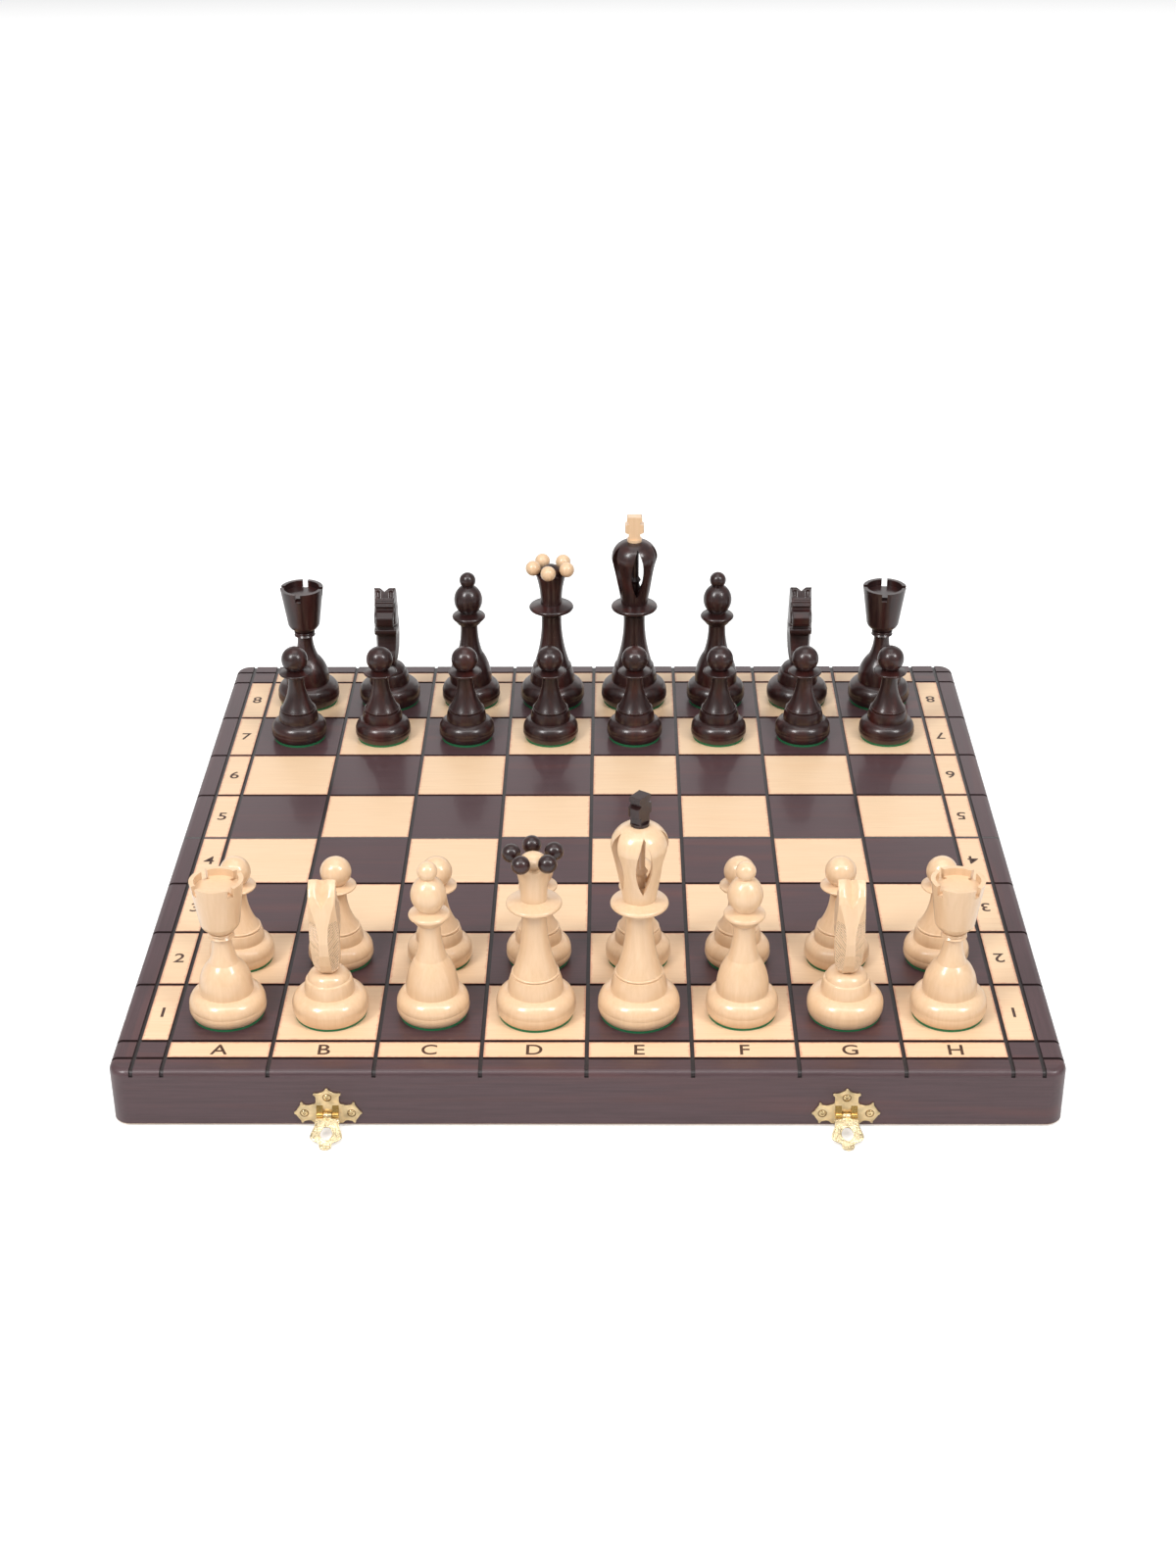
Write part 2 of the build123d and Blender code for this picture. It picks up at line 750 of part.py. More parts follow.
def king():
    """A crown cut through into a basket of ribs round an inner spindle."""
    start, foot = foot_steps("king")
    stem = stems["king"]
    crown_mid = (
        between(stem.head_r, king_crown_widest_r, crown_bend_share),
        between(stem.collar_top, king_crown_widest_z, crown_bend_height_share),
    )
    dome_mid = (
        between(king_crown_top_r, king_crown_widest_r, arc_share),
        between(king_crown_widest_z, king_crown_top_z, arc_share),
    )
    crown = turned(
        start,
        *foot,
        *stem_steps("king"),
        (crown_mid, (king_crown_widest_r, king_crown_widest_z)),
        (dome_mid, (king_crown_top_r, king_crown_top_z)),
    )
    inner_r = king_crown_widest_r - king_shell
    waist_r = stem.head_r - king_shell * arc_share
    hollow = turned(
        (waist_r, basket_slot_bottom),
        (inner_r, king_crown_widest_z),
        (king_crown_top_r, basket_hollow_top),
    )
    hollow -= turned(
        (king_spindle_r, basket_slot_bottom - overrun),
        (king_spindle_r, basket_slot_bottom + spindle_bead_rise - spindle_bead_half),
        (spindle_bead_r, basket_slot_bottom + spindle_bead_rise),
        (king_spindle_r, basket_slot_bottom + spindle_bead_rise + spindle_bead_half),
        (king_spindle_r, king_crown_top_z),
    )
    crown -= hollow
    half = basket_slot_width / 2
    outline = make_face(
        [
            ThreePointArc((0, basket_slot_bottom), (half, basket_slot_widest), (0, basket_slot_top)),
            ThreePointArc((0, basket_slot_top), (-half, basket_slot_widest), (0, basket_slot_bottom)),
        ]
    )
    core = Cylinder(spindle_bead_r, 2 * king_crown_top_z)
    for i in range(basket_slot_count):
        turn = Rot(0, 0, 360 / basket_slot_count * i + basket_turn)
        opening = extrude(Plane.XZ * outline, amount=2 * king_crown_widest_r)
        crown -= turn * (opening - Pos(0, 0, basket_slot_widest) * core)
    return crown - Pos(0, 0, king_crown_top_z - finial_seat / 2) * Cylinder(finial_peg_r, finial_seat)


def king_finial():
    """The contrasting cross on a round foot, pegged into the crown."""
    foot_top = king_crown_top_z + finial_foot_height
    foot = turned(
        (finial_peg_r, king_crown_top_z - finial_seat),
        (finial_peg_r, king_crown_top_z),
        (finial_foot_r, king_crown_top_z),
        (finial_foot_r, foot_top),
    )
    arms_top = king_height - cross_top_height - cross_notch_height
    arms_bottom = arms_top - cross_arm_height
    right_side = [
        (finial_foot_r - cross_corner, foot_top - finial_foot_height / 2),
        (cross_waist_width / 2, arms_bottom - cross_notch_height),
        (cross_waist_width / 2, arms_bottom),
        (cross_width / 2, arms_bottom + cross_corner),
        (cross_width / 2, arms_top - cross_corner),
        (cross_waist_width / 2, arms_top),
        (cross_waist_width / 2, arms_top + cross_notch_height),
        (cross_top_width / 2, arms_top + cross_notch_height + cross_corner),
        (cross_top_width / 2, king_height - cross_corner),
        (cross_top_width / 2 - cross_corner, king_height),
    ]
    left_side = [(-x, z) for x, z in reversed(right_side)]
    outline = make_face(Plane.XZ * Polyline(*right_side, *left_side, close=True))
    cross = extrude(outline, amount=cross_depth / 2, both=True)
    cross &= Pos(0, 0, king_height / 2) * Cylinder(cross_width / 2 + cross_rounding, 2 * king_height)
    return foot + cross


def crown_balls(turn):
    """The balls on the points of a queen's crown."""
    for i in range(crown_ball_count):
        angle = math.radians(turn + 360 / crown_ball_count * i)
        place = Pos(queen_ball_ring_r * math.cos(angle), queen_ball_ring_r * math.sin(angle), queen_ball_z)
        yield place * Sphere(crown_ball_radius)


def queen(turn):
    """A flared crown, scalloped between its points, with a dished seat under each ball."""
    start, foot = foot_steps("queen")
    stem = stems["queen"]
    crown_mid = (
        between(stem.head_r, queen_crown_top_r, queen_flare_share),
        between(stem.collar_top, queen_crown_top_z, queen_flare_height_share),
    )
    dome_r = queen_crown_top_r - queen_rim_width
    dome_foot = queen_crown_top_z - queen_rim_drop
    cap_r, cap_z = cap_middle(dome_r, queen_dome_rise)
    crown = turned(
        start,
        *foot,
        *stem_steps("queen"),
        (crown_mid, (queen_crown_top_r, queen_crown_top_z)),
        (dome_r, dome_foot),
        ((cap_r, dome_foot + cap_z), (0, dome_foot + queen_dome_rise)),
    )
    step = 360 / crown_ball_count
    for i in range(crown_ball_count):
        scoop = Pos(queen_crown_top_r, 0, queen_crown_top_z + queen_scallop_rise) * Rot(0, 90, 0)
        cutter = Cylinder(queen_scallop_radius, 2 * queen_scallop_radius)
        crown -= Rot(0, 0, turn + step * (i + 0.5)) * scoop * cutter
    return crown - list(crown_balls(turn))


def knight():
    """A horse's head carved from a slab, on a turned base, facing along +Y."""
    start, foot = foot_steps("knight")
    tier = feet["knight"]
    dome_foot = (tier.tier_top_r - tier_ridge, tier.tier_top + tier_step)
    dome_mid = (
        between(knight_dome_r, dome_foot[0], arc_share),
        between(dome_foot[1], knight_seat_z, arc_share),
    )
    base = turned(start, *foot, dome_foot, (dome_mid, (knight_dome_r, knight_seat_z)))
    top = knight_height
    ear_tip = (knight_ear_forward, top)
    side = make_face(
        [
            Line(knight_toe, knight_rump),
            ThreePointArc(knight_rump, knight_back, knight_crest),
            ThreePointArc(knight_crest, knight_poll, ear_tip),
            Line(ear_tip, knight_ear_root),
            ThreePointArc(knight_ear_root, knight_forehead, knight_nose),
            Line(knight_nose, knight_lip),
            ThreePointArc(knight_lip, knight_chin, knight_mouth),
            Line(knight_mouth, knight_jaw),
            ThreePointArc(knight_jaw, knight_cheek, knight_throat),
            ThreePointArc(knight_throat, knight_neck, knight_chest),
            ThreePointArc(knight_chest, knight_breast, knight_toe),
        ]
    )
    wide = knight_half_width
    reach = 2 * knight_lip[0]
    side_plane = Plane(origin=(-wide - overrun, 0, 0), x_dir=(0, 1, 0), z_dir=(1, 0, 0))
    slab = extrude(side_plane * side, amount=2 * (wide + overrun))
    front_side = [
        (knight_foot_half_width, knight_seat_z - overrun),
        (wide, knight_widest_z - knight_cheek_half_height),
        (wide, knight_widest_z + knight_cheek_half_height),
        (knight_ear_half_width, top + overrun),
    ]
    front = make_face(Polyline(*front_side, *[(-x, z) for x, z in reversed(front_side)], close=True))
    front_plane = Plane(origin=(0, reach, 0), x_dir=(1, 0, 0), z_dir=(0, -1, 0))
    slab &= extrude(front_plane * front, amount=2 * reach)
    plan_side = [
        (wide, -reach),
        (wide, knight_cheek_back),
        (knight_muzzle_half_width, knight_lip[0] + overrun),
    ]
    plan = make_face(Polyline(*plan_side, *[(-x, y) for x, y in reversed(plan_side)], close=True))
    slab &= extrude(plan, amount=top + overrun)
    flare = ear_notch_flare * knight_height
    notch = make_face(Polyline((0, 0), (flare, knight_height), (-flare, knight_height), close=True))
    wedge = extrude(Plane.XZ * notch, amount=reach, both=True)
    slab -= Pos(0, ear_notch_front, top - ear_notch_depth) * Rot(ear_notch_tilt, 0, 0) * wedge
    return base + slab


back_rank = ["rook", "knight", "bishop", "queen", "king", "bishop", "knight", "rook"]
file_letters = "abcdefgh"


def side_shapes(side):
    """The six kinds of man of one side, turned as they stand on the board."""
    white = side == "white"
    facing = Rot(0, 0, 0 if white else 180)
    return {
        "king": king(),
        "queen": queen(white_queen_turn if white else black_queen_turn),
        "bishop": bishop(),
        "knight": facing * knight(),
        "rook": rook(white_rook_turn if white else black_rook_turn),
        "pawn": pawn(),
    }


def chessmen(side):
    """The men of one side on their starting squares, each with its felt."""
    shapes = side_shapes(side)
    back_y = field_half - square / 2
    pawn_y = field_half - 1.5 * square
    toward = -1 if side == "white" else 1
    queen_turn = white_queen_turn if side == "white" else black_queen_turn
    finial_turn = Rot(0, 0, white_cross_turn if side == "white" else black_cross_turn)
    for i, kind in enumerate(back_rank):
        x = (i + 0.5) * square - field_half
        place = Pos(x, toward * back_y, board_top)
        pawn_place = Pos(x, toward * pawn_y, board_top)
        paired = kind in ("rook", "knight", "bishop")
        name = f"{side}_{kind}_{file_letters[i]}" if paired else f"{side}_{kind}"
        keep(name, [place * shapes[kind], place * felt(kind)])
        keep(f"{side}_pawn_{file_letters[i]}", [pawn_place * shapes["pawn"], pawn_place * felt("pawn")])
        if kind == "king":
            keep(f"{side}_king_finial", [place * finial_turn * king_finial()])
        if kind == "queen":
            keep(f"{side}_queen_balls", [place * ball for ball in crown_balls(queen_turn)])


hinges()
board()
chessmen("white")
chessmen("black")
write_all()
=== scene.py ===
import math

import bmesh
import bpy
from mathutils import Matrix, Vector

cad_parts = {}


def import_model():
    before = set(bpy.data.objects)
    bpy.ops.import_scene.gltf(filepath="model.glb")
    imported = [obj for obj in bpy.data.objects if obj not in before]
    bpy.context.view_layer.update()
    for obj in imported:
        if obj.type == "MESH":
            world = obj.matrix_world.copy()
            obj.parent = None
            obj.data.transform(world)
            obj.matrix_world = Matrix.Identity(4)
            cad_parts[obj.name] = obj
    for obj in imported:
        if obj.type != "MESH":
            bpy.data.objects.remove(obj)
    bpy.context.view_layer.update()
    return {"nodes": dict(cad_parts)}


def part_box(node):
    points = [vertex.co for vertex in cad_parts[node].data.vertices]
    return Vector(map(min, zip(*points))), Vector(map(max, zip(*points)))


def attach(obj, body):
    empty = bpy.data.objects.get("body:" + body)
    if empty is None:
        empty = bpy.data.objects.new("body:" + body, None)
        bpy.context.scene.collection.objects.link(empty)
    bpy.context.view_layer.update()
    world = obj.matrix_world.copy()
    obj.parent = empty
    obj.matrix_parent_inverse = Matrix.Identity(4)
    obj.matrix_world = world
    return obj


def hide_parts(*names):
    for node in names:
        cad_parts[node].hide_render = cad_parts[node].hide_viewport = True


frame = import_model()
MM = 0.001

# Sizes that the finish needs, in metres, read from the frame or repeated from the part
square = 46.5 * MM
letter_band = 13.5 * MM
groove_half = 0.9 * MM
felt_thickness = 1.2 * MM
letter_height = 7.8 * MM
letter_lift = 0.03 * MM

front_low, front_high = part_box("near_front_rail")
back_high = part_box("far_back_rail")[1]
board_middle_y = (front_low[1] + back_high[1]) / 2
board_top = front_high[2]
rim_z = front_low[2]
field_half = 4 * square
outer_line = field_half + letter_band

# The photograph's frame and the camera that was fitted to the milled lines
photo_width = 1200
photo_height = 1600
focal_pixels = 2398.0
optical_axis_pixel = (602.0, 900.0)
camera_distance = 1.1666
camera_aim_y = -0.0452
camera_elevation = 30.16
camera_yaw = 0.73
camera_roll = 0.39
sensor = 36.0


# Small helpers for shader nodes


class Graph:
    """A material's node tree, with short calls for the nodes used here."""

    def __init__(self, name):
        self.material = bpy.data.materials.new(name)
        self.material.use_nodes = True
        self.tree = self.material.node_tree
        self.shader = self.tree.nodes["Principled BSDF"]
        self.place = self.add("ShaderNodeTexCoord").outputs["Object"]

    def add(self, kind, **settings):
        node = self.tree.nodes.new(kind)
        for name, value in settings.items():
            setattr(node, name, value)
        return node

    def put(self, socket, value):
        if isinstance(value, bpy.types.NodeSocket):
            self.tree.links.new(value, socket)
        else:
            socket.default_value = value

    def math(self, operation, a, b=0.0, clamp=False):
        node = self.add("ShaderNodeMath", operation=operation, use_clamp=clamp)
        self.put(node.inputs[0], a)
        self.put(node.inputs[1], b)
        return node.outputs[0]

    def split(self, vector):
        node = self.add("ShaderNodeSeparateXYZ")
        self.put(node.inputs[0], vector)
        return node.outputs[0], node.outputs[1], node.outputs[2]

    def stretch(self, scale, shift=(0, 0, 0), vector=None):
        node = self.add("ShaderNodeMapping")
        self.put(node.inputs["Vector"], vector or self.place)
        node.inputs["Scale"].default_value = scale
        node.inputs["Location"].default_value = shift
        return node.outputs[0]

    def noise(self, vector, scale=1.0, detail=3.0, roughness=0.5, distortion=0.0):
        node = self.add("ShaderNodeTexNoise")
        self.put(node.inputs["Vector"], vector)
        node.inputs["Scale"].default_value = scale
        node.inputs["Detail"].default_value = detail
        node.inputs["Roughness"].default_value = roughness
        node.inputs["Distortion"].default_value = distortion
        return node.outputs[0]

    def band(self, value, low, high, out_low=0.0, out_high=1.0):
        node = self.add("ShaderNodeMapRange")
        self.put(node.inputs[0], value)
        node.inputs[1].default_value = low
        node.inputs[2].default_value = high
        node.inputs[3].default_value = out_low
        node.inputs[4].default_value = out_high
        return node.outputs[0]

    def mix(self, factor, a, b):
        node = self.add("ShaderNodeMix", data_type="RGBA")
        self.put(node.inputs[0], factor)
        self.put(node.inputs[6], (*a, 1) if isinstance(a, tuple) else a)
        self.put(node.inputs[7], (*b, 1) if isinstance(b, tuple) else b)
        return node.outputs[2]

    def bump(self, height, distance, strength=1.0):
        node = self.add("ShaderNodeBump")
        node.inputs["Strength"].default_value = strength
        node.inputs["Distance"].default_value = distance
        self.put(node.inputs["Height"], height)
        self.put(self.shader.inputs["Normal"], node.outputs[0])
        return node.outputs[0]

    def set(self, **values):
        for name, value in values.items():
            self.put(self.shader.inputs[name.replace("_", " ")], value)


def streaks(graph, along, fine, coarse):
    """Fine and coarse wood grain that runs along one axis. Numbers are cycles per metre."""
    ratio = 0.035
    fine_scale = [fine, fine, fine]
    coarse_scale = [coarse, coarse, coarse]
    axis = "XYZ".index(along)
    fine_scale[axis] *= ratio
    coarse_scale[axis] *= ratio * 2
    return (
        graph.noise(graph.stretch(fine_scale), detail=4, roughness=0.6),
        graph.noise(graph.stretch(coarse_scale, (3.1, 1.7, 0.4)), detail=2, distortion=0.6),
    )


def line_distance(graph):
    """Distance from the nearest milled line, in metres, and the place's height."""
    x, y, z = graph.split(graph.place)
    distances = []
    for value, middle in ((x, 0.0), (y, board_middle_y)):
        away = graph.math("ABSOLUTE", graph.math("SUBTRACT", value, middle))
        turns = graph.math("ADD", graph.math("DIVIDE", away, square), 0.5)
        part = graph.math("SUBTRACT", graph.math("FRACT", turns), 0.5)
        repeated = graph.math("MULTIPLY", graph.math("ABSOLUTE", part), square)
        outer = graph.math("ABSOLUTE", graph.math("SUBTRACT", away, outer_line))
        distances.append(graph.math("MINIMUM", repeated, outer))
    return graph.math("MINIMUM", distances[0], distances[1]), z


# Materials


def stained_wood(along):
    """Dark plum stain, nearly black in the milled lines, with bare wood inside the trays."""
    g = Graph(f"stained_wood_{along.lower()}")
    fine, coarse = streaks(g, along, 900, 90)
    plum = (0.074, 0.036, 0.041)
    deep = (0.050, 0.023, 0.026)
    red = (0.115, 0.038, 0.034)
    colour = g.mix(g.band(fine, 0.3, 0.72), deep, plum)
    colour = g.mix(g.band(coarse, 0.52, 0.78, 0.0, 0.55), colour, red)
    distance, z = line_distance(g)
    on_top = g.math("GREATER_THAN", z, board_top - 3.1 * MM)
    near_line = g.band(distance, groove_half + 0.1 * MM, groove_half - 0.05 * MM)
    in_line = g.math("MULTIPLY", near_line, on_top)
    colour = g.mix(in_line, colour, (0.012, 0.005, 0.005))
    x, y, _ = g.split(g.place)
    inside_x = g.math("LESS_THAN", g.math("ABSOLUTE", x), outer_line + 0.1 * MM)
    away_y = g.math("ABSOLUTE", g.math("SUBTRACT", y, board_middle_y))
    inside_y = g.math("LESS_THAN", away_y, outer_line + 0.1 * MM)
    off_seam = g.math("GREATER_THAN", away_y, 0.1 * MM)
    below = g.math("LESS_THAN", z, board_top - 2.0 * MM)
    within = g.math("MULTIPLY", inside_x, inside_y)
    inside = g.math("MULTIPLY", within, g.math("MULTIPLY", below, off_seam))
    rim = g.math("LESS_THAN", z, rim_z + 0.15 * MM)
    bare = g.math("MAXIMUM", inside, rim)
    pale = g.mix(g.band(fine, 0.3, 0.75), (0.56, 0.38, 0.22), (0.70, 0.52, 0.33))
    colour = g.mix(bare, colour, pale)
    g.set(Base_Color=colour, Coat_Weight=0.3, Coat_Roughness=0.12)
    g.set(Roughness=g.band(fine, 0.2, 0.8, 0.38, 0.52))
    g.bump(fine, 0.06 * MM, 0.5)
    return g.material


def maple_veneer():
    """Pale maple with left-right grain, a tone for each cell and stain at the edges."""
    g = Graph("maple_veneer")
    fine, coarse = streaks(g, "X", 1100, 60)
    x, y, _ = g.split(g.place)
    cell = g.add("ShaderNodeCombineXYZ")
    half = 0.5
    for i, (value, middle) in enumerate(((x, 0.0), (y, board_middle_y))):
        step = g.math("DIVIDE", g.math("SUBTRACT", value, middle), square)
        g.put(cell.inputs[i], g.math("ADD", g.math("FLOOR", step), half))
    tone = g.add("ShaderNodeTexWhiteNoise", noise_dimensions="3D")
    g.put(tone.inputs[0], cell.outputs[0])
    colour = g.mix(g.band(fine, 0.3, 0.75), (0.72, 0.50, 0.31), (0.80, 0.58, 0.38))
    colour = g.mix(g.band(coarse, 0.45, 0.8, 0.0, 0.35), colour, (0.74, 0.46, 0.26))
    colour = g.mix(g.math("MULTIPLY", tone.outputs[0], 0.22), colour, (0.74, 0.50, 0.30))
    distance, _ = line_distance(g)
    ragged = g.noise(g.stretch((500, 500, 500)), detail=2)
    reach = g.math("ADD", distance, g.band(ragged, 0.3, 0.7, -0.35 * MM, 0.35 * MM))
    edge = g.band(reach, groove_half + 1.1 * MM, groove_half + 0.2 * MM, 0.0, 0.65)
    colour = g.mix(edge, colour, (0.55, 0.20, 0.13))
    side = g.band(distance, groove_half + 0.06 * MM, groove_half + 0.01 * MM)
    colour = g.mix(side, colour, (0.03, 0.012, 0.010))
    g.set(Base_Color=colour, Coat_Weight=0.2, Coat_Roughness=0.25)
    g.set(Roughness=g.band(fine, 0.2, 0.8, 0.38, 0.5))
    g.bump(fine, 0.04 * MM, 0.4)
    return g.material


def turned_wood(name, light, dark, streak, felted, coat=0.5):
    """Lacquered turned wood with upright grain and, at the very foot, green felt."""
    g = Graph(name)
    fine, coarse = streaks(g, "Z", 700, 110)
    colour = g.mix(g.band(fine, 0.28, 0.74), dark, light)
    colour = g.mix(g.band(coarse, 0.5, 0.8, 0.0, 0.5), colour, streak)
    rough = g.band(fine, 0.2, 0.8, 0.27, 0.36)
    if felted:
        _, _, z = g.split(g.place)
        fuzz = g.noise(g.stretch((2600, 2600, 2600)), detail=2)
        green = g.mix(fuzz, (0.005, 0.09, 0.03), (0.014, 0.19, 0.07))
        under = g.math("LESS_THAN", z, board_top + felt_thickness + 0.01 * MM)
        colour = g.mix(under, colour, green)
        rough = g.math("MAXIMUM", rough, under)
    g.set(Base_Color=colour, Roughness=rough, Coat_Weight=coat, Coat_Roughness=0.09)
    g.bump(fine, 0.03 * MM, 0.35)
    return g.material


def brass(name, rough, tone, relief=0.05, grain=1500):
    """Stamped brass. Relief is in millimetres and grain in cycles per metre."""
    g = Graph(name)
    speckle = g.noise(g.stretch((grain, grain, grain)), detail=3)
    cloud = g.noise(g.stretch((220, 220, 220)), detail=2)
    bright = tuple(min(1.0, 1.12 * c) for c in tone)
    dull = tuple(0.7 * c for c in tone)
    colour = g.mix(g.band(cloud, 0.3, 0.7), dull, bright)
    g.set(Base_Color=colour, Metallic=1.0)
    g.set(Roughness=g.band(speckle, 0.3, 0.7, rough - 0.08, rough + 0.1))
    g.bump(speckle, relief * MM, 0.8)
    return g.material


def letter_ink():
    """Brown ink, worn a little along the grain."""
    g = Graph("letter_ink")
    fine, _ = streaks(g, "X", 1100, 60)
    colour = g.mix(g.band(fine, 0.35, 0.8), (0.035, 0.014, 0.009), (0.10, 0.045, 0.025))
    g.set(Base_Color=colour)
    g.set(Roughness=g.band(fine, 0.2, 0.8, 0.45, 0.6))
    return g.material


pale_tone = ((0.76, 0.53, 0.335), (0.70, 0.475, 0.285), (0.62, 0.385, 0.215))
dark_tone = ((0.028, 0.008, 0.007), (0.014, 0.005, 0.005), (0.085, 0.014, 0.009))
stained = {axis: stained_wood(axis) for axis in "XY"}
veneer = maple_veneer()
pale_felted = turned_wood("pale_turned_wood", *pale_tone, True)
dark_felted = turned_wood("dark_turned_wood", *dark_tone, True, 0.3)
pale_trim = turned_wood("pale_trim_wood", *pale_tone, False)
dark_trim = turned_wood("dark_trim_wood", *dark_tone, False, 0.3)
# Darker copies of the turned woods, without coat, for the faces deep in the knights' mane cuts:
# painted shade in the cuts
pale_cut_shade_tone = tuple(tuple(0.5 * c for c in tone) for tone in pale_tone)
dark_cut_shade_tone = tuple(tuple(0.3 * c for c in tone) for tone in dark_tone)
pale_cut_shade = turned_wood("pale_cut_shade_wood", *pale_cut_shade_tone, False, 0.0)
dark_cut_shade = turned_wood("dark_cut_shade_wood", *dark_cut_shade_tone, False, 0.0)
stamped_brass = brass("stamped_brass", 0.36, (0.80, 0.62, 0.36))
relief_brass = brass("relief_brass", 0.26, (0.84, 0.69, 0.43), 0.3, 900)
amber_brass = brass("amber_brass", 0.2, (0.74, 0.47, 0.15))
# Dark brass for the chased rings round the nails: painted shade that makes the rings read deeper
ring_shade_brass = brass("ring_shade_brass", 0.4, (0.30, 0.18, 0.08))
bright_brass = brass("bright_brass", 0.22, (0.86, 0.66, 0.36))
ink = letter_ink()


# Finish of the CAD pieces


def cad_material(node):
    """Which finish a CAD node gets."""
    if node.startswith(("white_", "black_")):
        pale = node.startswith("white_")
        if node.endswith(("finial", "balls")):
            return dark_trim if pale else pale_trim
        return pale_felted if pale else dark_felted
    if node.endswith("veneers"):
        return veneer
    if node.endswith(("left_rail", "right_rail")):
        return stained["Y"]
    if node.endswith(("rail", "panel")):
        return stained["X"]
    if "nail" in node or "pin" in node or "screw" in node:
        return bright_brass
    return stamped_brass


def finish_cad():
    """Gives every CAD piece its material."""
    for node in frame["nodes"]:
        piece = bpy.data.objects[node]
        piece.data.materials.clear()
        piece.data.materials.append(cad_material(node))


# Letters and figures of the border


def evaluated_mesh(holder):
    """The mesh that Blender shows for an object."""
    bpy.context.view_layer.update()
    shown = holder.evaluated_get(bpy.context.evaluated_depsgraph_get())
    return bpy.data.meshes.new_from_object(shown)


def glyph_mesh(character, height):
    """A flat mesh of one character, centred on its own middle and scaled to a height."""
    curve = bpy.data.curves.new("glyph", "FONT")
    curve.body = character
    curve.fill_mode = "FRONT"
    curve.offset = 0.012
    holder = bpy.data.objects.new("glyph", curve)
    bpy.context.collection.objects.link(holder)
    mesh = evaluated_mesh(holder)
    bpy.data.objects.remove(holder)
    low = Vector([min(v.co[i] for v in mesh.vertices) for i in range(3)])
    high = Vector([max(v.co[i] for v in mesh.vertices) for i in range(3)])
    scale = height / (high.y - low.y)
    mesh.transform(Matrix.Scale(scale, 4) @ Matrix.Translation(-(low + high) / 2))
    return mesh


def border_letters(body, side):
    """All the characters on one half's border, as one piece. side is -1 for the near half."""
    gathered = bmesh.new()
    band_middle = field_half + letter_band / 2
    z = board_top + letter_lift
    places = []
    for i, character in enumerate("ABCDEFGH"):
        turn = 0 if side < 0 else math.pi
        places.append((character, (i - 3.5) * square, board_middle_y + side * band_middle, turn))
    for i in range(4):
        rank = i if side < 0 else i + 4
        y = board_middle_y + (rank - 3.5) * square
        places.append((str(rank + 1), -band_middle, y, 0))
        places.append((str(rank + 1), band_middle, y, math.pi))
    for character, x, y, turn in places:
        mesh = glyph_mesh(character, letter_height)
        mesh.transform(Matrix.Translation((x, y, z)) @ Matrix.Rotation(turn, 4, "Z"))
        gathered.from_mesh(mesh)
    data = bpy.data.meshes.new(f"{body}_letters")
    gathered.to_mesh(data)
    gathered.free()
    piece = bpy.data.objects.new(f"{body}_letters", data)
    bpy.context.collection.objects.link(piece)
    data.materials.append(ink)
    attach(piece, body)
    return piece


# Shared mesh helpers; outlines are in millimetres


def new_piece(name, gathered, material, body, sharp=35, turn=None):
    """Adds a bmesh as a piece of one body, smooth but for edges sharper than an angle."""
    mesh = to_mesh(name, gathered)
    if turn:
        mesh.transform(turn)
    piece = bpy.data.objects.new(name, mesh)
    bpy.context.collection.objects.link(piece)
    mesh.materials.append(material)
    mesh.shade_smooth()
    mesh.set_sharp_from_angle(angle=math.radians(sharp))
    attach(piece, body)
    return piece


def to_mesh(name, gathered):
    """Turns a bmesh into a mesh with its faces pointing outwards."""
    bmesh.ops.remove_doubles(gathered, verts=gathered.verts, dist=0.002 * MM)
    bmesh.ops.recalc_face_normals(gathered, faces=gathered.faces)
    mesh = bpy.data.meshes.new(name)
    gathered.to_mesh(mesh)
    gathered.free()
    return mesh


def arc(start, via, end, steps=10):
    """Points on the circle from start through via to end, without the start itself."""
    ax, ay = start
    bx, by = via
    cx, cy = end
    d = 2 * (ax * (by - cy) + bx * (cy - ay) + cx * (ay - by))
    a2, b2, c2 = ax * ax + ay * ay, bx * bx + by * by, cx * cx + cy * cy
    ux = (a2 * (by - cy) + b2 * (cy - ay) + c2 * (ay - by)) / d
    uy = (a2 * (cx - bx) + b2 * (ax - cx) + c2 * (bx - ax)) / d
    radius = math.hypot(ax - ux, ay - uy)
    first = math.atan2(ay - uy, ax - ux)
    turn_via = (math.atan2(by - uy, bx - ux) - first) % math.tau
    turn_end = (math.atan2(cy - uy, cx - ux) - first) % math.tau
    if turn_via > turn_end:
        turn_end -= math.tau
    angles = (first + turn_end * (i + 1) / steps for i in range(steps))
    return [(ux + radius * math.cos(a), uy + radius * math.sin(a)) for a in angles]


def add_lathe(gathered, profile, place, sides=96):
    """Turns a profile of (r, z) in millimetres about Z into a closed form at a place."""
    rings = []
    for r, z in profile:
        if r < 0.001:
            rings.append([gathered.verts.new(place @ Vector((0, 0, z * MM)))])
            continue
        ring = []
        for i in range(sides):
            a = math.tau * i / sides
            spot = Vector((r * MM * math.cos(a), r * MM * math.sin(a), z * MM))
            ring.append(gathered.verts.new(place @ spot))
        rings.append(ring)
    for low, high in zip(rings, rings[1:]):
        for i in range(sides):
            j = (i + 1) % sides
            below = [low[i % len(low)], low[j % len(low)]]
            above = [high[j % len(high)], high[i % len(high)]]
            corners = below + above
            distinct = list(dict.fromkeys(corners))
            if len(distinct) > 2:
                gathered.faces.new(distinct)


